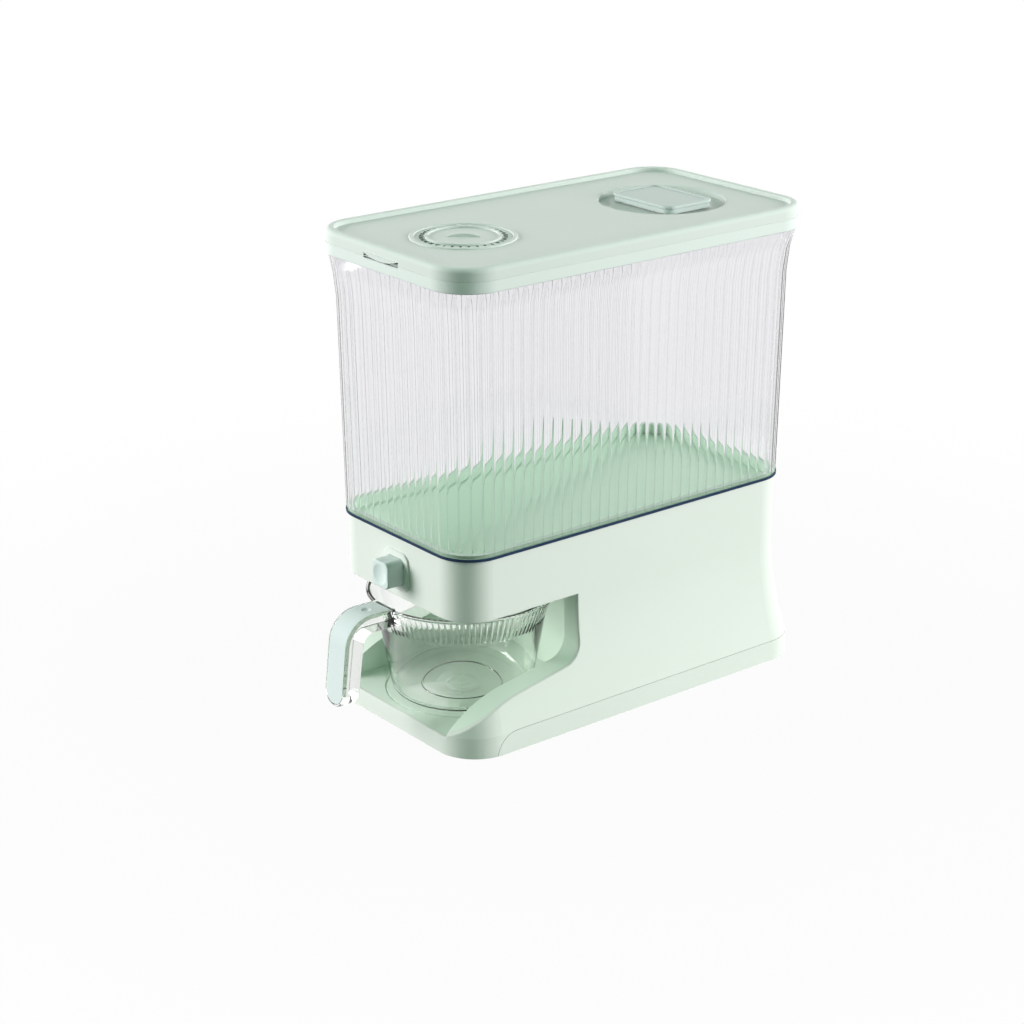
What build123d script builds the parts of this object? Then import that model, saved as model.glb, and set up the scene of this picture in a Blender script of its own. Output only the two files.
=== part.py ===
from build123d import *
import os

# Rice dispenser: a clear hopper on a moulded base, with a push gate over a measuring cup.
# Millimetres, +Z up, the front with the button and the cup towards -Y.
# The origin is on the table, under the middle of the base.

# Clearances
seam_gap = 0.4          # parting line that shows between two mouldings
touch_gap = 0.05        # faces of one body that lie against each other
fit_gap = 0.3           # loose fit, and room round what slides or turns
pin_gap = 0.05          # a pin in its hole

# Measuring cup, which the base is laid out around
cup_y = -105.5
cup_lift = 0.2          # underside above the tray
cup_wall = 2.2
cup_floor = 2.6
cup_height = 82.8
cup_foot_in = 11.0      # how much the wall leans in from the ribbed band to the foot
cup_foot_round = 7.0
cup_band_radius = 65.0
cup_band = 21.0         # height of the ribbed band under the rim
cup_rim_spread = 7.4
cup_rim_bead = 1.0
cup_rim_round = 0.9
cup_ring_radius = 31.3
cup_ring_width = 1.2

# Handle of the cup
handle_half_width = 12.5
handle_rise = 1.0       # top of the handle above the cup's rim
handle_thickness = 11.5
handle_reach = 38.6     # from the cup's rim to the handle's outer face
handle_lean = 7.4       # how far the foot stands out in front of the bend
handle_drop = 67.0
handle_bend = 21.0
handle_foot_round = 11.5
handle_edge = 1.4
cover_thickness = 2.8
cover_side = 1.9        # border of the handle round the cover
cover_run = 35.5
cover_edge = 0.6
dimple_run = 21.5       # middle of the thumb dimple from the handle's front
dimple_radius = 3.6
dimple_depth = 1.0

# Cup bay: the room cut through the sides, and the pocket between the cheeks
cup_side_gap = 2.0
cup_rear_gap = 4.1
cup_head_gap = 7.0
cheek_width = 14.5
cheek_rear_rise = 38.1  # heights of the cheeks above the tray
cheek_bend_rise = 27.5
cheek_front_drop = 1.5
cheek_bend_ahead = 14.5
cheek_overrun = 1.5
bay_behind = 48.5       # rear of the side openings behind the cup's axis
bay_corner = 18.0
pocket_corner = 38.0
tray_height = 14.0
liner_wall = 2.5
tray_ring_out = 5.5     # ring in the tray outside the cup's foot
tray_ring_width = 1.6
tray_ring_depth = 0.8
edge_round = 1.2        # softened edges of the cup bay

# Base: outline at the table, and how far the head stands in from it
foot_front = -173.5
foot_rear = 175.0
foot_spread_side = 13.5
foot_spread_front = 7.5
foot_spread_rear = 12.5
foot_spread_corner = 6.0
head_corner = 28.0

# Base: heights and walls
base_wall = 3.0
base_floor = 3.0
band_height = 16.0      # bottom band, up to the seam
band_draft = 0.075      # how much of the foot's spread the band takes, as a share
flare_under_bay = 6.0   # the hollow flare ends this far below the bay's top
flare_power = 1.7
flare_steps = 4
head_height = 49.0

# Seam of the bottom band: level from the back, then down to the table near the front
seam_turn_in = 48.5
seam_front_in = 29.5

# Ceiling of the bay, which is the underside of the head
ceiling_thickness = 2.5
ceiling_lap = 6.0

# Fixing of the base plate
boss_width = 11.0
boss_inset = 16.0
boss_front_in = 69.5
boss_rear_in = 47.0
boss_height = 26.0
boss_web_height = 19.0
boss_web_length = 33.0
screw_radius = 1.5
screw_head_radius = 3.0
screw_head_height = 1.6
base_screw_length = 16.0
pad_radius = 9.0
pad_thickness = 1.5
pad_inset = 29.0
pad_front_in = 35.5
pad_rear_in = 33.0

# Hopper floor and the outlet under it
hopper_rim = 9.5
hopper_rim_front = 14.0
hopper_corner = 20.0
hopper_wall = 2.2
hopper_flange = 2.5
hopper_ledge = 3.0
ledge_width = 3.5
outlet_behind = 0.5     # outlet behind the cup's axis
outlet_width = 44.0
outlet_length = 10.0
outlet_corner = 2.0
outlet_wall = 2.2
outlet_collar = 2.5
chute_flange = 4.4

# Gate: a plate with a window, pushed by the button against a spring
gate_lift = 4.0         # gate above the ceiling
gate_thickness = 2.5
gate_side = 8.0         # plate left at each side of the window
gate_tail = 36.0
gate_overtravel = 1.5
gate_tab_thickness = 3.0
gate_tab_half_width = 9.0
gate_tab_height = 19.5
gate_stop_half_width = 6.0
gate_stop_height = 6.5
rail_lip = 3.0
rail_side = 6.0
rail_front_in = 18.0
rail_lip_thickness = 2.2
spring_wall = 4.0
spring_shut = 12.5      # room left for the spring when the gate is open
spring_radius = 3.4
spring_wire = 0.45
spring_turns = 7
spring_post_radius = 2.0
spring_post_length = 9.0
guide_screw_front_in = 8.0
guide_screw_rear_in = 10.0

# Button and its bezel
button_size = 21.0
button_corner = 5.0
button_rise = 22.0      # middle of the button above the bay
button_reach = 16.0
button_flange = 2.25
button_flange_thickness = 2.0
button_dish_depth = 1.6
button_edge = 1.2
bezel_width = 5.0
bezel_corner = 8.0
bezel_proud = 1.4
bezel_collar = 1.5
bezel_edge = 1.0
button_screw_radius = 1.2
button_screw_head_radius = 2.4
button_screw_length = 10.0
button_screw_drop = 4.0

# Container: how far it stands out over the head, and spreads to the shoulder, neck and mouth
container_wall = 2.4
container_step = 1.8
container_height = 167.6
shoulder_side = 2.1
shoulder_front_out = 2.8
shoulder_rear_out = 0.9
neck_rise = 19.0
neck_side = 1.5
neck_front_out = 1.4
neck_rear_out = 1.1
mouth_rise = 13.0
mouth_side = 3.2
mouth_front_out = 1.4
mouth_rear_out = 1.6
container_corner = 30.0
container_flange = 3.0
skirt_wall = 2.0
skirt_depth = 4.0
skirt_gap = 0.45
gasket_thickness = 1.4
gasket_inset = 0.7

# Lid frame and lid
frame_wall = 1.8
frame_height = 9.0
frame_over_flare = 2.0
frame_web = 2.6
frame_edge = 1.0
throat_inset = 10.4
throat_corner = 22.0
throat_wall = 2.4
throat_depth = 5.5
lid_height = 10.0
lid_edge = 4.0
lid_rim_width = 7.0
lid_rim_rise = 3.5      # rim above the sunk panel
lid_panel_thickness = 2.5
lid_wall = 2.6
lid_rim_round = 1.5
tab_half_width = 21.0
tab_rise = 2.8          # height of the notch beside the tab, above the seam
tab_drop = 0.7          # how far the tab's middle hangs below the seam
tab_proud = 0.9
tab_scoop = 1.2
tab_depth = 4.0

# Hinge at the back of the lid
hinge_back = 2.5        # hinge axis behind the frame
hinge_drop = 2.6        # hinge axis below the frame's top
hinge_x = 44.0
knuckle_radius = 2.4
hinge_pin_radius = 1.2
knuckle_length = 22.0
lug_length = 6.0
hinge_web_height = 4.0

# Panel, seal and basket under the lid
panel_gap = 1.0
panel_thickness = 2.0
panel_wall = 2.0
seal_width = 4.0
basket_inset_x = 5.5
basket_inset_y = 5.0
basket_corner = 5.0
basket_wall = 2.0
basket_depth = 24.0
basket_flange = 4.0
basket_flange_thickness = 1.0
basket_slot_end = 5.0
basket_slot_width = 2.0
basket_slot_margin = 4.0
basket_slot_count = 8

# Round dish and oblong cap at the back of the lid
cap_in = 76.5           # middle of the cap from the lid's rear
dish_room = 15.0
dish_depth = 4.5
dish_wall = 2.0
dish_round = 1.8
cap_width = 69.0
cap_length = 48.0
cap_height = 7.8
cap_corner = 8.0
cap_plate = 1.9
cap_groove = 1.1
cap_groove_depth = 1.5
cap_body_inset = 0.6
cap_edge = 1.0
cap_inset_border = 4.0
cap_inset_depth = 0.7
cap_plug_wall = 2.0
cap_plug_depth = 7.0
cap_seal_thickness = 1.3
cap_seal_width = 4.0

# Dial at the front of the lid
dial_in = 74.5          # middle of the dial from the lid's front
dial_radius = 28.5
dial_track = 11.5       # ring outside the turning disc
dial_bead_width = 3.5
dial_well = 1.5         # recess in the panel under the ring and the disc
dial_ring_thickness = 1.5
dial_bead_rise = 1.3    # bead above the panel
dial_bead_round = 0.8
dial_thickness = 2.8
dial_lift = 0.3
dial_bead = 2.2
dial_dish_depth = 1.4
dial_edge = 0.6
dial_hub_radius = 9.0
dial_clip_width = 4.0
dial_clip_thickness = 1.6
dial_clip_groove = 1.0
grip_inset = 15.5
grip_over = 1.2         # top of the grip's arch above the disc's bead
grip_width = 3.6
nib_length = 5.5
nib_width = 11.0
nib_slot = 4.2
nib_angle = 141.5

# Cutters reach this far past what they cut, and an edge this near a face lies on it
reach = 480.0
cut_over = 1.0
on_face = 0.005

# Cup and bay, from the tray up
cup_bottom = tray_height + cup_lift
cup_rim_height = cup_bottom + cup_height
cup_band_height = cup_rim_height - cup_band
cup_foot_radius = cup_band_radius - cup_foot_in
cup_rim_radius = cup_band_radius + cup_rim_spread
tray_ring_radius = cup_foot_radius + tray_ring_out
bay_top = cup_rim_height + cup_head_gap
bay_rear = cup_y + bay_behind
cheek_rear_height = tray_height + cheek_rear_rise
cheek_bend_y = cup_y - cheek_bend_ahead
cheek_bend_z = tray_height + cheek_bend_rise
cheek_front_y = foot_front - cheek_overrun
cheek_front_z = tray_height - cheek_front_drop
pocket_half_width = cup_band_radius + cup_side_gap
pocket_rear = cup_y + cup_rim_radius + cup_rim_bead + cup_rear_gap
ceiling_rear = pocket_rear + ceiling_lap
handle_top = cup_rim_height + handle_rise
handle_front = cup_y - cup_rim_radius - handle_reach
handle_foot_front = handle_front - handle_lean
handle_foot = handle_top - handle_drop
cover_half_width = handle_half_width - cover_side
cover_start = handle_front + cover_run
dimple_sphere = (dimple_radius**2 + dimple_depth**2) / (2 * dimple_depth)

# Base, outwards from the bay
head_half_width = pocket_half_width + cheek_width
head_front = foot_front + foot_spread_front
head_rear = foot_rear - foot_spread_rear
foot_half_width = head_half_width + foot_spread_side
foot_corner = head_corner + foot_spread_corner
flare_top = bay_top - flare_under_bay
rim_height = bay_top + head_height
seam_turn = foot_front + seam_turn_in
seam_front = foot_front + seam_front_in
boss_x = foot_half_width - boss_inset
boss_front_y = foot_front + boss_front_in
boss_rear_y = foot_rear - boss_rear_in
pad_x = foot_half_width - pad_inset
pad_front_y = foot_front + pad_front_in
pad_rear_y = foot_rear - pad_rear_in

# Hopper, gate and button, from the bay's ceiling up
hopper_half_width = head_half_width - hopper_rim
hopper_front = head_front + hopper_rim_front
hopper_rear = head_rear - hopper_rim
ledge_height = rim_height - skirt_depth - skirt_gap - hopper_flange - touch_gap - hopper_ledge
outlet_y = cup_y + outlet_behind
ceiling_top = bay_top + ceiling_thickness
gate_bottom = ceiling_top + gate_lift
gate_top = gate_bottom + gate_thickness
gate_half_width = outlet_width / 2 + gate_side
gate_travel = outlet_length + gate_overtravel
gate_rear = outlet_y + outlet_length / 2 + gate_tail
gate_tab_top = gate_bottom + gate_tab_height
funnel_end = gate_top + fit_gap + outlet_collar + hopper_wall
rail_front = head_front + rail_front_in
rail_rear = gate_rear + gate_travel + spring_shut
guide_screw_front_y = rail_front + guide_screw_front_in
guide_screw_rear_y = rail_rear - guide_screw_rear_in
button_z = bay_top + button_rise
button_face = head_front - button_reach
button_flange_size = button_size + 2 * button_flange
button_screw_z = button_z - button_screw_drop
bezel_size = button_size + 2 * bezel_width

# Container, upwards from the base's rim
container_bottom = rim_height + gasket_thickness
container_half_width = head_half_width + container_step
container_front = head_front - container_step
container_rear = head_rear + container_step
shoulder_height = container_bottom + container_height
shoulder_half_width = container_half_width + shoulder_side
shoulder_front = container_front - shoulder_front_out
shoulder_rear = container_rear + shoulder_rear_out
neck_height = shoulder_height + neck_rise
neck_half_width = shoulder_half_width + neck_side
neck_front = shoulder_front - neck_front_out
neck_rear = shoulder_rear + neck_rear_out
mouth_height = neck_height + mouth_rise
mouth_half_width = neck_half_width + mouth_side
mouth_front = neck_front - mouth_front_out
mouth_rear = neck_rear + mouth_rear_out

# Lid, dial and cap, round and over the container's mouth
lid_half_width = mouth_half_width + fit_gap + frame_wall
lid_front = mouth_front - fit_gap - frame_wall
lid_rear = mouth_rear + fit_gap + frame_wall
lid_corner = container_corner + fit_gap + frame_wall
throat_half_width = mouth_half_width - throat_inset
throat_front = mouth_front + throat_inset
throat_rear = mouth_rear - throat_inset
frame_bottom = mouth_height + frame_over_flare
frame_top = frame_bottom + frame_height
container_top = frame_top - frame_web - fit_gap
lid_bottom = frame_top + seam_gap
lid_top = frame_top + lid_height
lid_panel_height = lid_top - lid_rim_rise
lid_underside = lid_panel_height - lid_panel_thickness
dish_floor = lid_panel_height - dish_depth
panel_top = dish_floor - dish_wall - basket_flange_thickness
panel_bottom = panel_top - panel_thickness
cap_y = lid_rear - cap_in
cap_top = dish_floor + cap_height
dish_radius = cap_width / 2 + dish_room
basket_width = cap_width - 2 * basket_inset_x
basket_length = cap_length - 2 * basket_inset_y
basket_slot_length = basket_depth - 2 * basket_slot_end
basket_slot_pitch = (basket_width - 2 * basket_slot_margin) / basket_slot_count
dial_y = lid_front + dial_in
dial_floor_height = lid_panel_height - dial_well
dial_ring_radius = dial_radius + dial_track
dial_clip_radius = dial_hub_radius + dial_clip_width
grip_length = 2 * (dial_radius - grip_inset)
nib_radius = dial_radius + nib_length

parts_folder = "parts"
os.makedirs(parts_folder, exist_ok=True)


def save(builder, name):
    """Label a finished piece and write it under its node's name."""
    builder.part.label = name
    export_step(builder.part, f"{parts_folder}/{name}.step")


def rounded_plan(half_width, front, rear, corner, height):
    """Rounded oblong seen from above, symmetric about the YZ plane, at one height."""
    with BuildSketch(Plane.XY.offset(height)) as plan:
        with Locations((0, (front + rear) / 2)):
            RectangleRounded(2 * half_width, rear - front, corner)
    return plan.sketch


def centred_plan(width, length, corner, middle_y, height):
    """Rounded oblong of a given size, centred on the YZ plane."""
    return rounded_plan(width / 2, middle_y - length / 2, middle_y + length / 2, corner, height)


def disc(radius, middle_y, height):
    """Round plan centred on the YZ plane."""
    with BuildSketch(Plane.XY.offset(height)) as plan:
        with Locations((0, middle_y)):
            Circle(radius)
    return plan.sketch


# Base form: a head with upright walls over a hollow flare and a nearly upright band

def foot_share(height):
    """How much of the foot's spread is left at a height: 1 at the table, 0 at the head."""
    if height <= band_height:
        return 1 - band_draft * height / band_height
    rise = max(0.0, flare_top - height) / (flare_top - band_height)
    return (1 - band_draft) * rise**flare_power


def base_plan(height, inset):
    """Outline of the base at a height, drawn in by a wall or a clearance."""
    share = foot_share(height)
    return rounded_plan(
        head_half_width + share * (foot_half_width - head_half_width) - inset,
        head_front + share * (foot_front - head_front) + inset,
        head_rear + share * (foot_rear - head_rear) - inset,
        head_corner + share * (foot_corner - head_corner) - inset,
        height,
    )


flare_heights = [
    band_height + step * (flare_top - band_height) / flare_steps for step in range(flare_steps + 1)
]


def base_form(inset, bottom, top):
    """Solid base, drawn in by a wall, between two heights."""
    with BuildPart() as form:
        loft([base_plan(bottom, inset), base_plan(band_height, inset)], ruled=True)
        loft([base_plan(height, inset) for height in flare_heights])
        extrude(base_plan(flare_top, inset), amount=top - flare_top)
    return form.part


base_outside = base_form(0, 0, rim_height)
base_inside = base_form(base_wall, -base_floor, rim_height + base_wall)
base_hollow = base_form(base_wall, base_floor, rim_height + base_wall)
liner_room = base_form(base_wall + touch_gap, base_floor, rim_height)


def under_seam(gap):
    """Room below the seam of the bottom band, through the whole width."""
    level = band_height + gap
    front = seam_front - gap
    with BuildPart() as room:
        with BuildSketch(Plane.YZ):
            with BuildLine():
                TangentArc((seam_turn, level), (front, 0), tangent=(-1, 0))
                Polyline((front, 0), (front, -reach), (reach, -reach), (reach, level), (seam_turn, level))
            make_face()
        extrude(amount=reach, both=True)
    return room.part


def bay_room(skin):
    """Room for the cup, open at the front and both sides, grown by a skin below and behind."""
    with BuildPart() as room:
        with BuildSketch(Plane.YZ) as side:
            with BuildLine():
                slope = Line((bay_rear, cheek_rear_height), (cheek_bend_y, cheek_bend_z))
                TangentArc((cheek_bend_y, cheek_bend_z), (cheek_front_y, cheek_front_z), tangent=slope % 1)
                Polyline(
                    (cheek_front_y, cheek_front_z),
                    (-reach, cheek_front_z),
                    (-reach, bay_top),
                    (bay_rear, bay_top),
                    (bay_rear, cheek_rear_height),
                )
            make_face()
            fillet(side.vertices().sort_by_distance((bay_rear, cheek_rear_height))[0], bay_corner)
            if skin:
                offset(amount=skin, kind=Kind.INTERSECTION)
        extrude(amount=reach, both=True)
        with BuildSketch(Plane.XY.offset(tray_height - skin)) as pocket:
            with Locations((0, pocket_rear + skin)):
                Rectangle(2 * (pocket_half_width + skin), reach, align=(Align.CENTER, Align.MAX))
            fillet(pocket.vertices().group_by(Axis.Y)[-1], pocket_corner + skin)
        extrude(amount=bay_top - tray_height + skin)
    return room.part


cup_bay = bay_room(0)
cup_bay_skinned = bay_room(liner_wall)

# Base housing: the outer shell, with a ledge for the hopper and posts for the base screws
boss_places = [
    (side * boss_x, y) for y in (boss_front_y, boss_rear_y) for side in (-1, 1)
]
pad_places = [
    (side * pad_x, y) for y in (pad_front_y, pad_rear_y) for side in (-1, 1)
]

with BuildPart() as boss_posts:
    with Locations(*[(x, y, base_floor) for x, y in boss_places]):
        Box(boss_width, boss_width, boss_height, align=(Align.CENTER, Align.CENTER, Align.MIN))
    add(base_form(base_wall + fit_gap, base_floor, rim_height), mode=Mode.INTERSECT)

with BuildPart() as boss_webs:
    with Locations(*[(x, y, boss_web_height) for x, y in boss_places]):
        Box(
            boss_web_length,
            boss_width,
            boss_height + base_floor - boss_web_height,
            align=(Align.CENTER, Align.CENTER, Align.MIN),
        )
    add(base_outside, mode=Mode.INTERSECT)
    with Locations((0, (boss_front_y + boss_rear_y) / 2, boss_web_height)):
        Box(2 * boss_x - boss_width, reach * 2, reach, mode=Mode.SUBTRACT)


def bay_outline(builder):
    """Edges where the cup bay breaks through the outside of the base."""
    outside = base_outside.shell()
    room = cup_bay.shell()
    return builder.edges().filter_by(
        lambda edge: max(outside.distance_to(edge @ 0.5), room.distance_to(edge @ 0.5)) < on_face
    )


button_hole_half = button_size / 2 + fit_gap + bezel_collar + touch_gap

with BuildPart() as base_housing:
    add(base_outside)
    add(base_inside, mode=Mode.SUBTRACT)
    add(cup_bay, mode=Mode.SUBTRACT)
    fillet(bay_outline(base_housing), edge_round)
    add(under_seam(seam_gap), mode=Mode.SUBTRACT)
    with BuildSketch(Plane.XZ.offset(-head_front - base_wall - cut_over)):
        with Locations((0, button_z)):
            RectangleRounded(2 * button_hole_half, 2 * button_hole_half, button_corner + bezel_collar)
    extrude(amount=base_wall + 2 * cut_over, mode=Mode.SUBTRACT)
    extrude(base_plan(ledge_height, base_wall / 2), amount=hopper_ledge)
    extrude(base_plan(ledge_height, base_wall + ledge_width), amount=hopper_ledge, mode=Mode.SUBTRACT)
    add(boss_posts.part)
    add(boss_webs.part)
    with Locations(*[(x, y, base_floor) for x, y in boss_places]):
        Cylinder(
            screw_radius + touch_gap,
            base_screw_length,
            align=(Align.CENTER, Align.CENTER, Align.MIN),
            mode=Mode.SUBTRACT,
        )
save(base_housing, "base_housing")

# Cup bay liner: cheeks, tray floor and back wall, lining the bay inside the housing
with BuildPart() as cup_bay_liner:
    add(cup_bay_skinned)
    add(liner_room, mode=Mode.INTERSECT)
    add(cup_bay, mode=Mode.SUBTRACT)
    with Locations((0, 0, bay_top)):
        Box(
            2 * reach,
            2 * reach,
            reach,
            align=(Align.CENTER, Align.CENTER, Align.MIN),
            mode=Mode.SUBTRACT,
        )
    with BuildSketch(Plane.XY.offset(tray_height)):
        with Locations((0, cup_y)):
            Circle(tray_ring_radius + tray_ring_width / 2)
            Circle(tray_ring_radius - tray_ring_width / 2, mode=Mode.SUBTRACT)
    extrude(amount=-tray_ring_depth, mode=Mode.SUBTRACT)
save(cup_bay_liner, "cup_bay_liner")

# Bay ceiling: closes the head from below, open under the outlet
chute_width = outlet_width + 2 * outlet_wall
chute_length = outlet_length + 2 * outlet_wall
rail_outer = gate_half_width + rail_side
guide_screw_x = (gate_half_width + fit_gap + rail_outer) / 2
guide_screw_places = [
    (side * guide_screw_x, y) for y in (guide_screw_front_y, guide_screw_rear_y) for side in (-1, 1)
]

with BuildPart() as bay_ceiling:
    extrude(base_plan(bay_top, base_wall + touch_gap), amount=ceiling_thickness)
    with Locations((0, ceiling_rear, bay_top)):
        Box(2 * reach, reach, reach, align=(Align.CENTER, Align.MIN, Align.CENTER), mode=Mode.SUBTRACT)
    extrude(
        centred_plan(
            chute_width + 2 * touch_gap,
            chute_length + 2 * touch_gap,
            outlet_corner + outlet_wall,
            outlet_y,
            bay_top,
        ),
        amount=ceiling_thickness,
        mode=Mode.SUBTRACT,
    )
    with Locations(*[(x, y, bay_top) for x, y in guide_screw_places]):
        Cylinder(
            screw_radius + touch_gap,
            ceiling_thickness,
            align=(Align.CENTER, Align.CENTER, Align.MIN),
            mode=Mode.SUBTRACT,
        )
save(bay_ceiling, "bay_ceiling")

# Base plate: the bottom band with the floor, and a tongue inside the housing's front
with BuildPart() as base_plate:
    add(base_outside)
    add(under_seam(0), mode=Mode.INTERSECT)
    add(base_hollow, mode=Mode.SUBTRACT)
    extrude(base_plan(0, base_wall + fit_gap), amount=base_floor)
    with Locations(*pad_places):
        Cylinder(
            pad_radius + touch_gap,
            pad_thickness,
            align=(Align.CENTER, Align.CENTER, Align.MIN),
            mode=Mode.SUBTRACT,
        )
    with Locations(*boss_places):
        Cylinder(
            screw_head_radius + fit_gap,
            fit_gap + screw_head_height,
            align=(Align.CENTER, Align.CENTER, Align.MIN),
            mode=Mode.SUBTRACT,
        )
        Cylinder(
            screw_radius + touch_gap,
            base_floor,
            align=(Align.CENTER, Align.CENTER, Align.MIN),
            mode=Mode.SUBTRACT,
        )
save(base_plate, "base_plate")

# Foot pads: rubber discs let into the base plate, flush with it
with BuildPart() as foot_pads:
    with Locations(*pad_places):
        Cylinder(pad_radius, pad_thickness, align=(Align.CENTER, Align.CENTER, Align.MIN))
save(foot_pads, "foot_pads")

# Base screws: up through the base plate into the housing's posts
with BuildPart() as base_screws:
    with Locations(*[(x, y, fit_gap) for x, y in boss_places]):
        Cylinder(screw_head_radius, screw_head_height, align=(Align.CENTER, Align.CENTER, Align.MIN))
        Cylinder(screw_radius, base_screw_length, align=(Align.CENTER, Align.CENTER, Align.MIN))
save(base_screws, "base_screws")

# Hopper floor: a funnel hung on the housing's ledge, sloping to the outlet near the front
flange_bottom = ledge_height + hopper_ledge + touch_gap
flange_top = flange_bottom + hopper_flange
collar_top = funnel_end - hopper_wall
collar_bottom = gate_top + fit_gap

with BuildPart() as hopper_floor:
    extrude(base_plan(flange_bottom, base_wall + fit_gap), amount=hopper_flange)
    loft(
        [
            rounded_plan(
                hopper_half_width + hopper_wall,
                hopper_front - hopper_wall,
                hopper_rear + hopper_wall,
                hopper_corner + hopper_wall,
                flange_bottom,
            ),
            centred_plan(chute_width, chute_length, outlet_corner + outlet_wall, outlet_y, collar_top),
        ]
    )
    extrude(
        centred_plan(chute_width, chute_length, outlet_corner + outlet_wall, outlet_y, collar_bottom),
        amount=collar_top - collar_bottom,
    )
    loft(
        [
            rounded_plan(hopper_half_width, hopper_front, hopper_rear, hopper_corner, flange_top),
            centred_plan(outlet_width, outlet_length, outlet_corner, outlet_y, funnel_end),
        ],
        mode=Mode.SUBTRACT,
    )
    extrude(
        centred_plan(outlet_width, outlet_length, outlet_corner, outlet_y, collar_bottom),
        amount=funnel_end - collar_bottom,
        mode=Mode.SUBTRACT,
    )
save(hopper_floor, "hopper_floor")

# Outlet chute: a short spout through the ceiling, under the gate
with BuildPart() as outlet_chute:
    extrude(
        centred_plan(chute_width, chute_length, outlet_corner + outlet_wall, outlet_y, bay_top),
        amount=gate_bottom - fit_gap - bay_top,
    )
    extrude(
        centred_plan(chute_width, chute_length + 2 * chute_flange, outlet_corner, outlet_y, ceiling_top),
        amount=outlet_wall,
    )
    extrude(
        centred_plan(outlet_width, outlet_length, outlet_corner, outlet_y, bay_top),
        amount=gate_bottom - bay_top,
        mode=Mode.SUBTRACT,
    )
save(outlet_chute, "outlet_chute")

# Gate guide: two grooved rails on the ceiling, joined by a wall that backs the spring
gate_middle = gate_bottom + gate_thickness / 2
rail_top = gate_top + fit_gap + rail_lip_thickness
rail_length = rail_rear - rail_front

with BuildPart() as gate_guide:
    with Locations((0, rail_front, ceiling_top)):
        Box(
            2 * rail_outer,
            rail_length + spring_wall,
            rail_top - ceiling_top,
            align=(Align.CENTER, Align.MIN, Align.MIN),
        )
    with Locations((0, rail_front, ceiling_top)):
        Box(
            2 * (gate_half_width - rail_lip),
            rail_length,
            rail_top - ceiling_top,
            align=(Align.CENTER, Align.MIN, Align.MIN),
            mode=Mode.SUBTRACT,
        )
    with Locations((0, rail_front, gate_bottom - fit_gap)):
        Box(
            2 * (gate_half_width + fit_gap),
            rail_length,
            gate_thickness + 2 * fit_gap,
            align=(Align.CENTER, Align.MIN, Align.MIN),
            mode=Mode.SUBTRACT,
        )
    with BuildSketch(Plane.XZ.offset(-rail_rear)):
        with Locations((0, gate_middle)):
            Circle(spring_post_radius)
    extrude(amount=spring_post_length)
    with Locations(*[(x, y, ceiling_top) for x, y in guide_screw_places]):
        Cylinder(
            screw_radius + touch_gap,
            rail_top - ceiling_top,
            align=(Align.CENTER, Align.CENTER, Align.MIN),
            mode=Mode.SUBTRACT,
        )
save(gate_guide, "gate_guide")

# Guide screws: down through the rails into the ceiling
with BuildPart() as guide_screws:
    with Locations(*[(x, y, rail_top) for x, y in guide_screw_places]):
        Cylinder(screw_head_radius, screw_head_height, align=(Align.CENTER, Align.CENTER, Align.MIN))
        Cylinder(
            screw_radius,
            rail_top - bay_top - touch_gap,
            align=(Align.CENTER, Align.CENTER, Align.MAX),
        )
save(guide_screws, "guide_screws")


def front_plan(size, corner, middle_z, y):
    """Rounded square seen from the front, at one depth."""
    with BuildSketch(Plane.XZ.offset(-y)) as plan:
        with Locations((0, middle_z)):
            RectangleRounded(size, size, corner)
    return plan.sketch


# Button bezel: a frame on the head's face with a collar through the wall
bezel_hole = button_size + 2 * fit_gap
bezel_collar_size = bezel_hole + 2 * bezel_collar

with BuildPart() as button_bezel:
    extrude(front_plan(bezel_size, bezel_corner, button_z, head_front - touch_gap), amount=bezel_proud)
    fillet(button_bezel.faces().sort_by(Axis.Y)[0].edges(), bezel_edge)
    extrude(
        front_plan(bezel_collar_size, button_corner + bezel_collar, button_z, head_front - touch_gap),
        amount=-base_wall,
    )
    extrude(
        front_plan(bezel_hole, button_corner + fit_gap, button_z, head_front - bezel_proud - touch_gap),
        amount=-(base_wall + bezel_proud + touch_gap),
        mode=Mode.SUBTRACT,
    )
save(button_bezel, "button_bezel")

# Push button: a square key with a dished face and a flange that keeps it in the wall
button_flange_front = head_front + base_wall + fit_gap
button_back = button_flange_front + button_flange_thickness
button_dish_half = button_size / 2 - 2 * button_edge
button_dish_radius = button_dish_half**2 / (2 * button_dish_depth) + button_dish_depth / 2

with BuildPart() as push_button:
    extrude(front_plan(button_size, button_corner, button_z, button_face), amount=button_face - button_back)
    fillet(push_button.faces().sort_by(Axis.Y)[0].edges(), button_edge)
    extrude(
        front_plan(button_flange_size, button_corner + fit_gap, button_z, button_flange_front),
        amount=-button_flange_thickness,
    )
    with Locations((0, button_face - button_dish_radius + button_dish_depth, button_z)):
        Sphere(button_dish_radius, mode=Mode.SUBTRACT)
    with BuildSketch(Plane.XZ.offset(-button_back)):
        with Locations((0, button_screw_z)):
            Circle(button_screw_radius + touch_gap)
    extrude(amount=button_screw_length, mode=Mode.SUBTRACT)
save(push_button, "push_button")

# Gate slider: the plate under the outlet, with a tab to the button and a stop for the spring
gate_front = button_back + touch_gap

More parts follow.
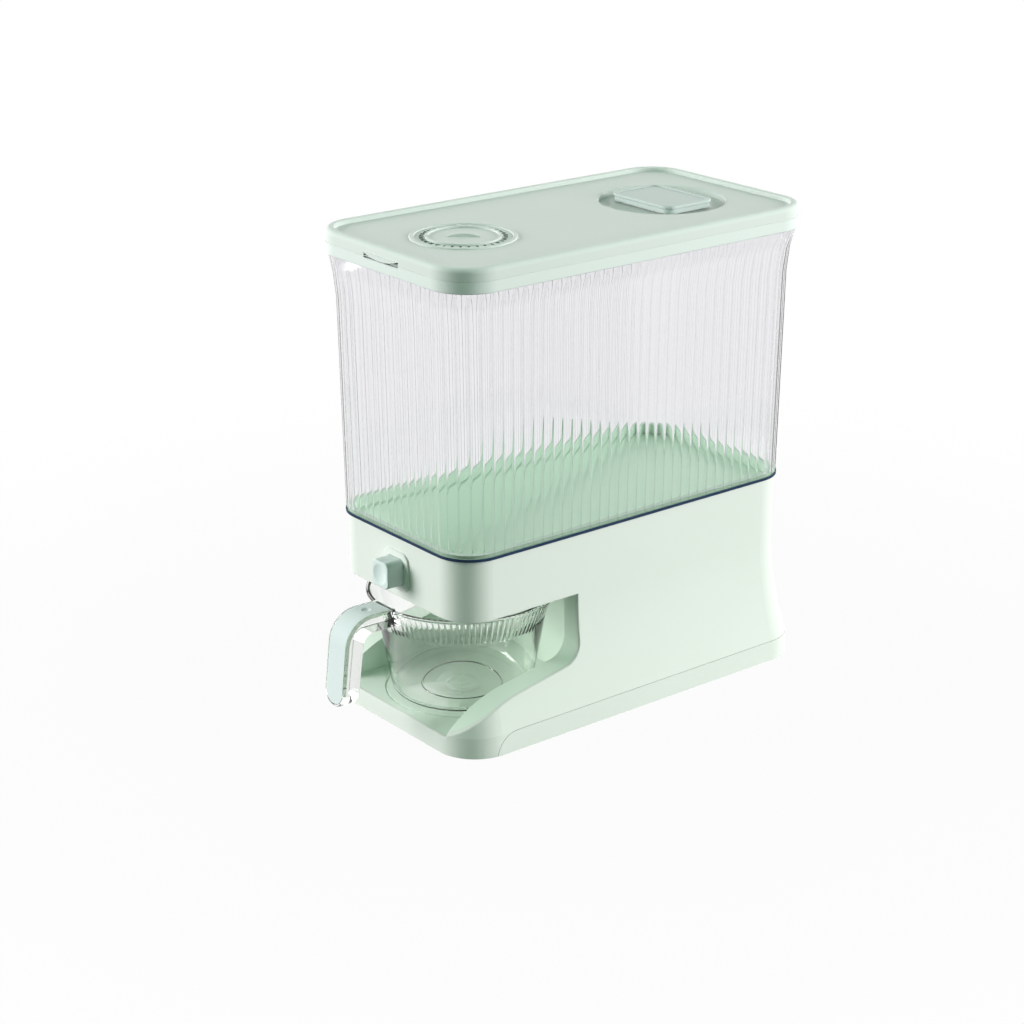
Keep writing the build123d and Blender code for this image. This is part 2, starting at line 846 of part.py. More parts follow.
with BuildPart() as gate_slider:
    with Locations((0, gate_front, gate_bottom)):
        Box(
            2 * gate_half_width,
            gate_rear - gate_front,
            gate_thickness,
            align=(Align.CENTER, Align.MIN, Align.MIN),
        )
        Box(
            2 * gate_tab_half_width,
            gate_tab_thickness,
            gate_tab_top - gate_bottom,
            align=(Align.CENTER, Align.MIN, Align.MIN),
        )
    with Locations((0, gate_rear, gate_middle)):
        Box(
            2 * gate_stop_half_width,
            gate_tab_thickness,
            gate_stop_height,
            align=(Align.CENTER, Align.MAX, Align.CENTER),
        )
    extrude(
        centred_plan(outlet_width, outlet_length, outlet_corner, outlet_y - gate_travel, gate_bottom),
        amount=gate_thickness,
        mode=Mode.SUBTRACT,
    )
    with BuildSketch(Plane.XZ.offset(-gate_front)):
        with Locations((0, button_screw_z)):
            Circle(button_screw_radius + touch_gap)
    extrude(amount=-gate_tab_thickness, mode=Mode.SUBTRACT)
save(gate_slider, "gate_slider")

# Button screw: holds the slider's tab to the back of the button
with BuildPart() as button_screw:
    with BuildSketch(Plane.XZ.offset(-(gate_front + gate_tab_thickness))):
        with Locations((0, button_screw_z)):
            Circle(button_screw_head_radius)
    extrude(amount=-screw_head_height)
    with BuildSketch(Plane.XZ.offset(-(gate_front + gate_tab_thickness))):
        with Locations((0, button_screw_z)):
            Circle(button_screw_radius)
    extrude(amount=gate_tab_thickness + button_screw_length - screw_radius)
save(button_screw, "button_screw")

# Return spring: a coil between the slider's stop and the guide's wall
spring_start = gate_rear + spring_wire + touch_gap
spring_end = rail_rear - spring_wire - touch_gap

with BuildPart() as return_spring:
    with BuildLine():
        coil = Helix(
            (spring_end - spring_start) / spring_turns,
            spring_end - spring_start,
            spring_radius,
            center=(0, spring_start, gate_middle),
            direction=(0, 1, 0),
        )
    with BuildSketch(Plane(coil @ 0, z_dir=coil % 0)):
        Circle(spring_wire)
    sweep(path=coil, is_frenet=True)
save(return_spring, "return_spring")

# Container: a clear box with a slight draft that flares to its rim, open above and below

def container_form(inset):
    """Solid container, drawn in by a wall."""
    foot = rounded_plan(
        container_half_width - inset,
        container_front + inset,
        container_rear - inset,
        container_corner - inset,
        container_bottom,
    )
    shoulder = rounded_plan(
        shoulder_half_width - inset,
        shoulder_front + inset,
        shoulder_rear - inset,
        container_corner - inset,
        shoulder_height,
    )
    neck = rounded_plan(
        neck_half_width - inset,
        neck_front + inset,
        neck_rear - inset,
        container_corner - inset,
        neck_height,
    )
    mouth = rounded_plan(
        mouth_half_width - inset,
        mouth_front + inset,
        mouth_rear - inset,
        container_corner - inset,
        mouth_height,
    )
    with BuildPart() as form:
        loft([foot, shoulder], ruled=True)
        loft([shoulder, neck, mouth])
        extrude(mouth, amount=container_top - mouth_height)
    return form.part


with BuildPart() as container:
    add(container_form(0))
    add(container_form(container_wall), mode=Mode.SUBTRACT)
    extrude(
        rounded_plan(
            container_half_width - container_wall / 2,
            container_front + container_wall / 2,
            container_rear - container_wall / 2,
            container_corner - container_wall / 2,
            container_bottom,
        ),
        amount=container_flange,
    )
    extrude(base_plan(rim_height - skirt_depth, base_wall + fit_gap), amount=skirt_depth + gasket_thickness)
    extrude(
        base_plan(rim_height - skirt_depth, base_wall + fit_gap + skirt_wall),
        amount=skirt_depth + gasket_thickness + container_flange,
        mode=Mode.SUBTRACT,
    )
save(container, "container")

# Container gasket: a dark ring between the housing's rim and the container's foot
with BuildPart() as container_gasket:
    extrude(
        rounded_plan(
            container_half_width - gasket_inset,
            container_front + gasket_inset,
            container_rear - gasket_inset,
            container_corner - gasket_inset,
            rim_height + touch_gap,
        ),
        amount=gasket_thickness - 2 * touch_gap,
    )
    extrude(base_plan(rim_height, base_wall), amount=gasket_thickness, mode=Mode.SUBTRACT)
save(container_gasket, "container_gasket")


def lid_plan(height, inset):
    """Outline of the lid and its frame, drawn in by a wall."""
    return rounded_plan(
        lid_half_width - inset,
        lid_front + inset,
        lid_rear - inset,
        lid_corner - inset,
        height,
    )


def throat_plan(height, inset):
    """Opening that the hopper is filled through, drawn in by a clearance."""
    return rounded_plan(
        throat_half_width - inset,
        throat_front + inset,
        throat_rear - inset,
        throat_corner - inset,
        height,
    )


def cross_bar(radius, middle_x, length):
    """Round bar along the hinge axis."""
    with BuildPart() as bar:
        with BuildSketch(Plane.YZ.offset(middle_x)):
            with Locations((hinge_y, hinge_z)):
                Circle(radius)
        extrude(amount=length / 2, both=True)
    return bar.part


# Lid frame: a collar over the container's rim, with the throat and the hinge lugs
hinge_y = lid_rear + hinge_back
hinge_z = frame_top - hinge_drop
lug_offset = knuckle_length / 2 + fit_gap + lug_length / 2
lug_places = [hinge * hinge_x + side * lug_offset for hinge in (-1, 1) for side in (-1, 1)]
pin_length = knuckle_length + 2 * fit_gap + 2 * lug_length

with BuildPart() as lid_frame:
    extrude(lid_plan(frame_bottom, 0), amount=frame_top - frame_bottom)
    fillet(lid_frame.faces().sort_by(Axis.Z)[0].edges(), frame_edge)
    extrude(
        rounded_plan(
            mouth_half_width + fit_gap,
            mouth_front - fit_gap,
            mouth_rear + fit_gap,
            container_corner + fit_gap,
            frame_bottom,
        ),
        amount=frame_top - frame_web - frame_bottom,
        mode=Mode.SUBTRACT,
    )
    extrude(throat_plan(frame_top - throat_depth, -throat_wall), amount=throat_depth)
    extrude(throat_plan(frame_top - throat_depth, 0), amount=throat_depth, mode=Mode.SUBTRACT)
    with BuildSketch(Plane.XZ.offset(-lid_front)):
        with Locations((0, frame_top)):
            Rectangle(2 * tab_half_width, 2 * tab_scoop)
    extrude(amount=-tab_depth, mode=Mode.SUBTRACT)
    with Locations(*[(x, hinge_y, hinge_z) for x in lug_places]):
        Box(
            lug_length,
            hinge_back + frame_edge,
            2 * knuckle_radius,
            align=(Align.CENTER, Align.MAX, Align.CENTER),
        )
    for x in lug_places:
        add(cross_bar(knuckle_radius, x, lug_length))
    for x in lug_places:
        add(cross_bar(hinge_pin_radius + touch_gap, x, lug_length), mode=Mode.SUBTRACT)
save(lid_frame, "lid_frame")

# Hinge pins: steel, held in the frame's lugs
with BuildPart() as hinge_pins:
    for hinge in (-1, 1):
        add(cross_bar(hinge_pin_radius, hinge * hinge_x, pin_length))
save(hinge_pins, "hinge_pins")

# Lid cover: raised rim, sunk panel, round dish, finger tab, hinge knuckles
plug_width = basket_width - 2 * (basket_wall + fit_gap)
plug_length = basket_length - 2 * (basket_wall + fit_gap)
hinge_web_bottom = lid_bottom + seam_gap

with BuildPart() as lid_cover:
    extrude(lid_plan(lid_bottom, 0), amount=lid_top - lid_bottom)
    fillet(lid_cover.faces().sort_by(Axis.Z)[-1].edges(), lid_edge)
    extrude(
        lid_plan(lid_panel_height, lid_rim_width),
        amount=lid_top - lid_panel_height,
        mode=Mode.SUBTRACT,
    )
    fillet(lid_cover.faces().sort_by(Axis.Z)[-1].inner_wires()[0].edges(), lid_rim_round)
    extrude(lid_plan(lid_bottom, lid_wall), amount=lid_underside - lid_bottom, mode=Mode.SUBTRACT)
    extrude(
        disc(dish_radius + dish_wall, cap_y, dish_floor - dish_wall),
        amount=lid_panel_height - dish_floor + dish_wall,
    )
    extrude(disc(dish_radius, cap_y, dish_floor), amount=lid_top - dish_floor, mode=Mode.SUBTRACT)
    fillet(
        lid_cover.edges().sort_by_distance((0, cap_y + dish_radius, lid_panel_height))[0],
        dish_round,
    )
    extrude(
        centred_plan(
            basket_width - 2 * basket_wall,
            basket_length - 2 * basket_wall,
            basket_corner - basket_wall,
            cap_y,
            dish_floor - dish_wall,
        ),
        amount=dish_wall,
        mode=Mode.SUBTRACT,
    )
    extrude(
        disc(dial_ring_radius + touch_gap, dial_y, dial_floor_height),
        amount=dial_well,
        mode=Mode.SUBTRACT,
    )
    extrude(
        disc(dial_hub_radius + pin_gap, dial_y, lid_underside),
        amount=lid_panel_thickness,
        mode=Mode.SUBTRACT,
    )
    with BuildSketch(Plane.XZ.offset(-lid_front)):
        with Locations((0, lid_bottom)):
            Rectangle(2 * tab_half_width, tab_rise, align=(Align.CENTER, Align.MIN))
    extrude(amount=-tab_depth, mode=Mode.SUBTRACT)
    with BuildSketch(Plane.XZ.offset(-lid_front + tab_proud)):
        with BuildLine():
            tab_top = Line(
                (-tab_half_width, lid_bottom + tab_rise),
                (tab_half_width, lid_bottom + tab_rise),
            )
            ThreePointArc(tab_top @ 0, (0, lid_bottom - tab_drop), tab_top @ 1)
        make_face()
    extrude(amount=-(tab_proud + lid_wall))
    for hinge in (-1, 1):
        with Locations((hinge * hinge_x, hinge_y, hinge_web_bottom)):
            Box(
                knuckle_length,
                hinge_back + lid_wall / 2,
                hinge_web_height,
                align=(Align.CENTER, Align.MAX, Align.MIN),
            )
        with Locations((hinge * hinge_x, hinge_y, hinge_web_bottom)):
            Box(
                knuckle_length,
                hinge_back - fit_gap,
                hinge_web_bottom - hinge_z,
                align=(Align.CENTER, Align.MAX, Align.MAX),
            )
        add(cross_bar(knuckle_radius - fit_gap, hinge * hinge_x, knuckle_length))
        add(cross_bar(hinge_pin_radius + pin_gap, hinge * hinge_x, knuckle_length), mode=Mode.SUBTRACT)
save(lid_cover, "lid_cover")

# Lid inner panel: a tray under the lid that plugs the throat
with BuildPart() as lid_inner_panel:
    extrude(throat_plan(panel_bottom, panel_gap), amount=lid_underside - touch_gap - panel_bottom)
    extrude(
        throat_plan(panel_top, panel_gap + panel_wall),
        amount=lid_underside - panel_top,
        mode=Mode.SUBTRACT,
    )
    extrude(
        centred_plan(
            basket_width + 2 * fit_gap,
            basket_length + 2 * fit_gap,
            basket_corner,
            cap_y,
            panel_bottom,
        ),
        amount=panel_thickness,
        mode=Mode.SUBTRACT,
    )
save(lid_inner_panel, "lid_inner_panel")

# Lid seal: a soft ring round the inner panel, over the frame's top
with BuildPart() as lid_seal:
    extrude(
        throat_plan(frame_top + fit_gap, panel_gap - seal_width),
        amount=lid_underside - touch_gap - frame_top - fit_gap,
    )
    extrude(
        throat_plan(frame_top, panel_gap - touch_gap),
        amount=lid_underside - frame_top,
        mode=Mode.SUBTRACT,
    )
save(lid_seal, "lid_seal")

# Desiccant basket: a vented cup hung between the inner panel and the dish
basket_top = dish_floor - dish_wall - touch_gap
basket_seat = basket_top - basket_flange_thickness + 2 * touch_gap

with BuildPart() as desiccant_basket:
    extrude(
        centred_plan(basket_width, basket_length, basket_corner, cap_y, basket_top - basket_depth),
        amount=basket_depth,
    )
    extrude(
        centred_plan(
            basket_width + 2 * basket_flange,
            basket_length + 2 * basket_flange,
            basket_corner + basket_flange,
            cap_y,
            basket_seat,
        ),
        amount=basket_top - basket_seat,
    )
    extrude(
        centred_plan(
            basket_width - 2 * basket_wall,
            basket_length - 2 * basket_wall,
            basket_corner - basket_wall,
            cap_y,
            basket_top - basket_depth + basket_wall,
        ),
        amount=basket_depth,
        mode=Mode.SUBTRACT,
    )
    with BuildSketch(Plane.XY.offset(basket_top - basket_depth)):
        with Locations((0, cap_y)):
            with GridLocations(basket_slot_pitch, 1, basket_slot_count, 1):
                SlotOverall(basket_length - 4 * basket_wall, basket_slot_width, rotation=90)
    extrude(amount=basket_wall, mode=Mode.SUBTRACT)
    with BuildSketch(Plane.XZ.offset(-cap_y)):
        with Locations((0, basket_seat - basket_depth / 2)):
            with GridLocations(basket_slot_pitch, 1, basket_slot_count, 1):
                SlotOverall(basket_slot_length, basket_slot_width, rotation=90)
    extrude(amount=basket_length, both=True, mode=Mode.SUBTRACT)
save(desiccant_basket, "desiccant_basket")

# Desiccant cap: an oblong plate on a body that plugs the basket
cap_bottom = dish_floor + fit_gap + cap_seal_thickness
cap_plate_bottom = cap_top - cap_plate

with BuildPart() as desiccant_cap:
    extrude(centred_plan(cap_width, cap_length, cap_corner, cap_y, cap_plate_bottom), amount=cap_plate)
    fillet(desiccant_cap.faces().sort_by(Axis.Z)[-1].edges(), cap_edge)
    extrude(
        centred_plan(
            cap_width - 2 * cap_inset_border,
            cap_length - 2 * cap_inset_border,
            cap_corner - cap_inset_border / 2,
            cap_y,
            cap_top - cap_inset_depth,
        ),
        amount=cap_inset_depth,
        mode=Mode.SUBTRACT,
    )
    extrude(
        centred_plan(
            cap_width - 2 * cap_groove_depth,
            cap_length - 2 * cap_groove_depth,
            cap_corner - cap_groove_depth,
            cap_y,
            cap_plate_bottom,
        ),
        amount=-cap_groove,
    )
    extrude(
        centred_plan(
            cap_width - 2 * cap_body_inset,
            cap_length - 2 * cap_body_inset,
            cap_corner - cap_body_inset,
            cap_y,
            cap_bottom,
        ),
        amount=cap_plate_bottom - cap_groove - cap_bottom,
    )
    extrude(
        centred_plan(plug_width, plug_length, basket_corner - basket_wall, cap_y, cap_bottom),
        amount=-cap_plug_depth,
    )
    extrude(
        centred_plan(
            plug_width - 2 * cap_plug_wall,
            plug_length - 2 * cap_plug_wall,
            basket_corner - basket_wall,
            cap_y,
            cap_bottom - cap_plug_depth,
        ),
        amount=cap_plug_depth,
        mode=Mode.SUBTRACT,
    )
save(desiccant_cap, "desiccant_cap")

# Cap seal: a soft ring under the cap, round its plug
with BuildPart() as desiccant_cap_seal:
    extrude(
        centred_plan(
            plug_width + 2 * cap_seal_width,
            plug_length + 2 * cap_seal_width,
            basket_corner + cap_seal_width,
            cap_y,
            dish_floor + fit_gap,
        ),
        amount=cap_seal_thickness - touch_gap,
    )
    extrude(
        centred_plan(
            plug_width + 2 * touch_gap,
            plug_length + 2 * touch_gap,
            basket_corner - basket_wall + touch_gap,
            cap_y,
            dish_floor + fit_gap,
        ),
        amount=cap_seal_thickness,
        mode=Mode.SUBTRACT,
    )
save(desiccant_cap_seal, "desiccant_cap_seal")

# Dial scale ring: a fixed ring let into the lid, a sunk track with a raised bead round it
dial_ring_bottom = dial_floor_height + touch_gap
dial_ring_height = lid_panel_height + dial_bead_rise - dial_ring_bottom
dial_track_height = dial_ring_bottom + dial_ring_thickness

with BuildPart() as dial_scale_ring:
    extrude(disc(dial_ring_radius, dial_y, dial_ring_bottom), amount=dial_ring_height)
    extrude(
        disc(dial_ring_radius - dial_bead_width, dial_y, dial_track_height),
        amount=dial_ring_height,
        mode=Mode.SUBTRACT,
    )
    fillet(dial_scale_ring.faces().sort_by(Axis.Z)[-1].edges(), dial_bead_round)
    extrude(
        disc(dial_radius + fit_gap, dial_y, dial_ring_bottom),
        amount=dial_ring_height,
        mode=Mode.SUBTRACT,
    )
save(dial_scale_ring, "dial_scale_ring")

# Dial knob: a disc with a border bead, an arched grip across its middle, a forked nib, and a hub
# through the lid
dial_bottom = dial_floor_height + dial_lift
dial_top = dial_bottom + dial_thickness
dial_floor = dial_top - dial_dish_depth
hub_neck_top = lid_underside - fit_gap
hub_neck_bottom = hub_neck_top - dial_clip_thickness
nib_bottom = dial_track_height + fit_gap
nib_way = Vector(1, 0, 0).rotate(Axis.Z, nib_angle)
grip_way = nib_way.rotate(Axis.Z, 90)
grip_rise = dial_dish_depth + grip_over

with BuildPart() as dial_knob:
    extrude(disc(dial_radius, dial_y, dial_bottom), amount=dial_thickness)
    fillet(dial_knob.faces().sort_by(Axis.Z)[-1].edges(), dial_edge)
    extrude(disc(dial_radius - dial_bead, dial_y, dial_floor), amount=dial_dish_depth, mode=Mode.SUBTRACT)
    with BuildSketch(Plane((0, dial_y, dial_floor), x_dir=grip_way, z_dir=nib_way)):
        with BuildLine():
            grip_arch = ThreePointArc((-grip_length / 2, 0), (0, grip_rise), (grip_length / 2, 0))
            Line(grip_arch @ 1, grip_arch @ 0)
        make_face()
    extrude(amount=grip_width / 2, both=True)
    with BuildSketch(Plane((0, dial_y, nib_bottom)).rotated((0, 0, nib_angle))):
        with Locations((nib_radius, 0)):
            Rectangle(nib_length + dial_bead, nib_width, align=(Align.MAX, Align.CENTER))
            Rectangle(2 * nib_length, nib_slot, mode=Mode.SUBTRACT)
    extrude(amount=dial_top - dial_dish_depth / 2 - nib_bottom)
    extrude(disc(dial_hub_radius, dial_y, hub_neck_top), amount=dial_bottom - hub_neck_top)
    extrude(disc(dial_hub_radius - dial_clip_groove, dial_y, hub_neck_bottom), amount=dial_clip_thickness)
    extrude(disc(dial_hub_radius, dial_y, hub_neck_bottom - dial_clip_groove), amount=dial_clip_groove)
save(dial_knob, "dial_knob")

# Dial clip: a split ring in the hub's groove, under the lid
with BuildPart() as dial_clip:
    extrude(
        disc(dial_clip_radius, dial_y, hub_neck_bottom + touch_gap),
        amount=dial_clip_thickness - 2 * touch_gap,
    )
    extrude(
        disc(dial_hub_radius - dial_clip_groove + touch_gap, dial_y, hub_neck_bottom),
        amount=dial_clip_thickness,
        mode=Mode.SUBTRACT,
    )
    with Locations((0, dial_y, hub_neck_bottom)):
        Box(
            dial_hub_radius,
            dial_clip_radius,
            dial_clip_thickness,
            align=(Align.CENTER, Align.MIN, Align.MIN),
            mode=Mode.SUBTRACT,
        )
save(dial_clip, "dial_clip")

# Measuring cup: a clear tapered cup with a rim bead and a clear handle
cup_axis = Axis((0, cup_y, 0), (0, 0, 1))


def handle_band(outer_by, inner_by, start, foot):
    """Side view of the handle between two lines that follow its outer face."""
    with BuildSketch(Plane.YZ) as band:
        with BuildLine():
            outer = FilletPolyline(
                (start, handle_top + outer_by),
                (handle_front - outer_by, handle_top + outer_by),
                (handle_foot_front - outer_by, foot),
                radius=handle_bend + outer_by,
            )
            inner = FilletPolyline(
                (start, handle_top - inner_by),
                (handle_front + inner_by, handle_top - inner_by),
                (handle_foot_front + inner_by, foot),
                radius=handle_bend - inner_by,
            )
            Line(outer @ 0, inner @ 0)
            Line(outer @ 1, inner @ 1)
        make_face()
    return band.sketch


def handle_strip(outer_by, inner_by, start, foot, half_width, foot_round):
    """Length of the handle between two such lines, with a rounded foot."""
    with BuildPart() as strip:
        extrude(handle_band(outer_by, inner_by, start, foot), amount=half_width, both=True)
        fillet(strip.edges().filter_by(Axis.Y).group_by(Axis.Z)[0], foot_round)
    return strip.part


def cover_strip(outer_by, inner_by, spare):
    """Room of the cover in the handle, larger all round by a spare."""
    return handle_strip(
        outer_by,
        inner_by,
        cover_start + spare,
        handle_foot + cover_side - spare,
        cover_half_width + spare,
        handle_foot_round - cover_side,
    )


with BuildPart() as handle_neck:
    with Locations((0, cover_start, handle_top)):
        Box(
            2 * handle_half_width,
            cup_y - cup_band_radius - cover_start,
            handle_thickness,
            align=(Align.CENTER, Align.MIN, Align.MAX),
        )
    fillet(handle_neck.edges().filter_by(Axis.Y), handle_edge)

with BuildPart() as measuring_cup:
    add(
        handle_strip(
            cover_thickness,
            handle_thickness,
            cover_start + cover_side,
            handle_foot,
            handle_half_width,
            handle_foot_round,
        )
    )
    fillet(measuring_cup.faces().filter_by(Axis.X).edges(), handle_edge)
    add(cover_strip(cover_thickness + cut_over, 0, touch_gap), mode=Mode.SUBTRACT)
    add(handle_neck.part)
    with BuildSketch(Plane.XZ.offset(-cup_y)) as cup_side:
        Polygon(
            (0, cup_bottom),
            (cup_foot_radius, cup_bottom),
            (cup_band_radius, cup_band_height),
            (cup_rim_radius, cup_rim_height),
            (0, cup_rim_height),
            align=None,
        )
        fillet(cup_side.vertices().sort_by_distance((cup_foot_radius, cup_bottom))[0], cup_foot_round)
    revolve(axis=cup_axis)
    with BuildSketch(Plane.XZ.offset(-cup_y)):
        with Locations((cup_rim_radius + cup_rim_bead, cup_rim_height)):
            RectangleRounded(
                cup_wall + cup_rim_bead,
                cup_wall,
                cup_rim_round,
                align=(Align.MAX, Align.CENTER),
            )
    revolve(axis=cup_axis)
    with BuildSketch(Plane.XZ.offset(-cup_y)) as cup_inside:
        Polygon(
            (0, cup_bottom + cup_floor),
            (cup_foot_radius - cup_wall, cup_bottom + cup_floor),
            (cup_band_radius - cup_wall, cup_band_height),
            (cup_rim_radius - cup_wall, cup_rim_height),
            (cup_rim_radius - cup_wall, cup_rim_height + cup_wall),
            (0, cup_rim_height + cup_wall),
            align=None,
        )
        fillet(
            cup_inside.vertices().sort_by_distance((cup_foot_radius, cup_bottom))[0],
            cup_foot_round - cup_wall,
        )
    revolve(axis=cup_axis, mode=Mode.SUBTRACT)
    with BuildSketch(Plane.XY.offset(cup_bottom + cup_floor)):
        with Locations((0, cup_y)):
            Circle(cup_ring_radius + cup_ring_width / 2)
            Circle(cup_ring_radius - cup_ring_width / 2, mode=Mode.SUBTRACT)
    extrude(amount=cup_ring_width / 2)
save(measuring_cup, "measuring_cup")

# Handle cover: a coloured strip let into the outside of the handle, with a thumb dimple
with BuildPart() as cup_handle_cover:
    add(cover_strip(cover_thickness, -touch_gap, 0))
    fillet(cup_handle_cover.faces().filter_by(Axis.X).edges(), cover_edge)
    dimple_height = handle_top + cover_thickness + dimple_sphere - dimple_depth
    with Locations((0, handle_front + dimple_run, dimple_height)):
        Sphere(dimple_sphere, mode=Mode.SUBTRACT)
save(cup_handle_cover, "cup_handle_cover")
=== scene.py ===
import math

import bpy
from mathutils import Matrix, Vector


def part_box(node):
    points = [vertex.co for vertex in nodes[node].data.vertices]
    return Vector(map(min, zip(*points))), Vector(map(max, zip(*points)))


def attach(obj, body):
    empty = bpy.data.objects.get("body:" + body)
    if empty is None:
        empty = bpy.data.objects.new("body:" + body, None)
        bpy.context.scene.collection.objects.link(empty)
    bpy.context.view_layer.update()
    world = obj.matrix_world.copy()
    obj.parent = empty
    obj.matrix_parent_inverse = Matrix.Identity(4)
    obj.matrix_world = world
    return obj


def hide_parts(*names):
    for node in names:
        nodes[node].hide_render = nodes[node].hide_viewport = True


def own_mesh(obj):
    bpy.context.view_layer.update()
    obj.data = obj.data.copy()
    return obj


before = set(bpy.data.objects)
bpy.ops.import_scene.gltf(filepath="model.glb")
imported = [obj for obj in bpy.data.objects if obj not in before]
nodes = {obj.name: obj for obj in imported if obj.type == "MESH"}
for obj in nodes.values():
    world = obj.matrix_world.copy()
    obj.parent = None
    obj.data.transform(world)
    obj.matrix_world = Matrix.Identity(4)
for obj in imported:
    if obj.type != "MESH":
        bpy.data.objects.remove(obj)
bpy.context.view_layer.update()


# Base plate, housing and bezel: the outer shell of the base. It is injection moulded in pale mint
# plastic with a satin skin, and screwed together from below.
class Recipe:
    """One value in a finish's recipe, held as a socket. Sums on it add Math nodes."""

    def __init__(self, tree, socket=None):
        self.tree = tree
        self.socket = socket

    def node(self, kind, settings=(), sockets=(), out=0):
        """Adds a node of one kind: its settings first, then the values or links of its sockets."""
        new = self.tree.nodes.new("ShaderNode" + kind)
        for key, value in dict(settings).items():
            setattr(new, key, value)
        for key, value in dict(sockets).items():
            if isinstance(value, Recipe):
                self.tree.links.new(value.socket, new.inputs[key])
            else:
                new.inputs[key].default_value = value
        return Recipe(self.tree, new.outputs[out] if new.outputs else None)

    def sum(self, operation, first, second):
        return self.node("Math", {"operation": operation}, {0: first, 1: second})

    def __add__(self, other):
        return self.sum("ADD", self, other)

    def __sub__(self, other):
        return self.sum("SUBTRACT", self, other)

    def __rsub__(self, other):
        return self.sum("SUBTRACT", other, self)

    def __mul__(self, other):
        return self.sum("MULTIPLY", self, other)

    __radd__ = __add__
    __rmul__ = __mul__


def new_finish(name):
    """An empty finish, and the recipe to fill it with."""
    material = bpy.data.materials.new(name)
    material.use_nodes = True
    material.node_tree.nodes.clear()
    return material, Recipe(material.node_tree)


def moulded_plastic(name, pale, deep, roughness):
    """Satin moulded plastic: a faint cloudiness in its colour, and a fine grain from the mould."""
    material, recipe = new_finish(name)
    place = recipe.node("TexCoord", out="Object")
    cloud = recipe.node("TexNoise", {}, {"Vector": place, "Scale": 11.0, "Detail": 3.0, "Roughness": 0.5})
    grain = recipe.node("TexNoise", {}, {"Vector": place, "Scale": 1300.0, "Detail": 2.0})
    colour = recipe.node("Mix", {"data_type": "RGBA"}, {0: cloud, 6: pale, 7: deep}, out=2)
    skin = recipe.node("Bump", {}, {"Strength": 0.10, "Distance": 0.0002, "Height": grain})
    surface = recipe.node(
        "BsdfPrincipled",
        {},
        {
            "Base Color": colour,
            "Roughness": cloud * 0.10 + (roughness - 0.05),
            "Specular IOR Level": 0.15,
            "Normal": skin,
        },
    )
    recipe.node("OutputMaterial", {}, {"Surface": surface})
    return material


def dress(finish, *names):
    """Gives CAD nodes a finish."""
    for name in names:
        mesh = nodes[name].data
        mesh.materials.clear()
        mesh.materials.append(finish)


shell_mint = moulded_plastic("shell_mint", (0.775, 0.785, 0.755, 1), (0.745, 0.76, 0.725, 1), 0.36)
dress(shell_mint, "base_housing", "base_plate", "button_bezel")

# Cup bay liner, ceiling and chute: inner mouldings of the base in the same plastic, painted brighter
# and greener than the shell: painted light for the dim bay, and painted green shade for its shaded
# walls. The liner is clipped in behind the housing's edge, and the ceiling closes the head.
liner_painted_light = moulded_plastic("liner_painted_light", (0.78, 0.86, 0.785, 1), (0.75, 0.84, 0.755, 1), 0.34)
dress(liner_painted_light, "cup_bay_liner", "bay_ceiling", "outlet_chute")

# Foot pads and screws: soft dark rubber discs let into the base plate, and plated steel screws
# driven up through it into the posts of the housing. The other screws, the hinge pins and the dial's
# clip are of the same steel.
rubber, recipe = new_finish("pad_rubber")
place = recipe.node("TexCoord", out="Object")
dust = recipe.node("TexNoise", {}, {"Vector": place, "Scale": 420.0, "Detail": 4.0})
colour = recipe.node(
    "Mix", {"data_type": "RGBA"}, {0: dust, 6: (0.055, 0.058, 0.056, 1), 7: (0.10, 0.105, 0.10, 1)}, out=2
)
skin = recipe.node("Bump", {}, {"Strength": 0.25, "Distance": 0.0003, "Height": dust})
surface = recipe.node(
    "BsdfPrincipled", {}, {"Base Color": colour, "Roughness": dust * 0.2 + 0.6, "Normal": skin}
)
recipe.node("OutputMaterial", {}, {"Surface": surface})
dress(rubber, "foot_pads")

steel, recipe = new_finish("plated_steel")
place = recipe.node("TexCoord", out="Object")
wear = recipe.node("TexNoise", {}, {"Vector": place, "Scale": 260.0, "Detail": 5.0})
colour = recipe.node(
    "Mix", {"data_type": "RGBA"}, {0: wear, 6: (0.62, 0.63, 0.65, 1), 7: (0.48, 0.48, 0.50, 1)}, out=2
)
surface = recipe.node(
    "BsdfPrincipled", {}, {"Base Color": colour, "Metallic": 1.0, "Roughness": wear * 0.25 + 0.18}
)
recipe.node("OutputMaterial", {}, {"Surface": surface})
dress(steel, "base_screws", "guide_screws", "button_screw", "hinge_pins", "dial_clip")

# Hopper floor: a funnel moulded in fresh green, hung on a ledge inside the head. Grain slides down it
# to the outlet near the front.
hopper_green = moulded_plastic("hopper_green", (0.66, 0.86, 0.69, 1), (0.61, 0.83, 0.64, 1), 0.30)
dress(hopper_green, "hopper_floor")

# Gate and guide: slippery off-white plastic. The gate is a plate with a window, the guide two grooved
# rails screwed to the ceiling.
acetal = moulded_plastic("gate_acetal", (0.80, 0.82, 0.80, 1), (0.76, 0.78, 0.76, 1), 0.28)
dress(acetal, "gate_slider", "gate_guide")


# Return spring: a coil of plated steel wire behind the gate, which pushes the gate back. The coil here
# is a still copy of the part, carried with the base.
def deselect_all():
    """Nothing is selected when a new piece is begun."""
    if bpy.context.object and bpy.context.object.mode != "OBJECT":
        bpy.ops.object.mode_set(mode="OBJECT")
    bpy.ops.object.select_all(action="DESELECT")


def copy_of(node, name):
    """A loose copy of a CAD node, selected, to be shaped further."""
    deselect_all()
    piece = nodes[node].copy()
    piece.data = nodes[node].data.copy()
    bpy.context.collection.objects.link(piece)
    piece.parent = None
    piece.name = name
    for key in list(piece.keys()):
        del piece[key]
    piece.hide_render = False
    piece.hide_viewport = False
    bpy.context.view_layer.objects.active = piece
    piece.select_set(True)
    return piece


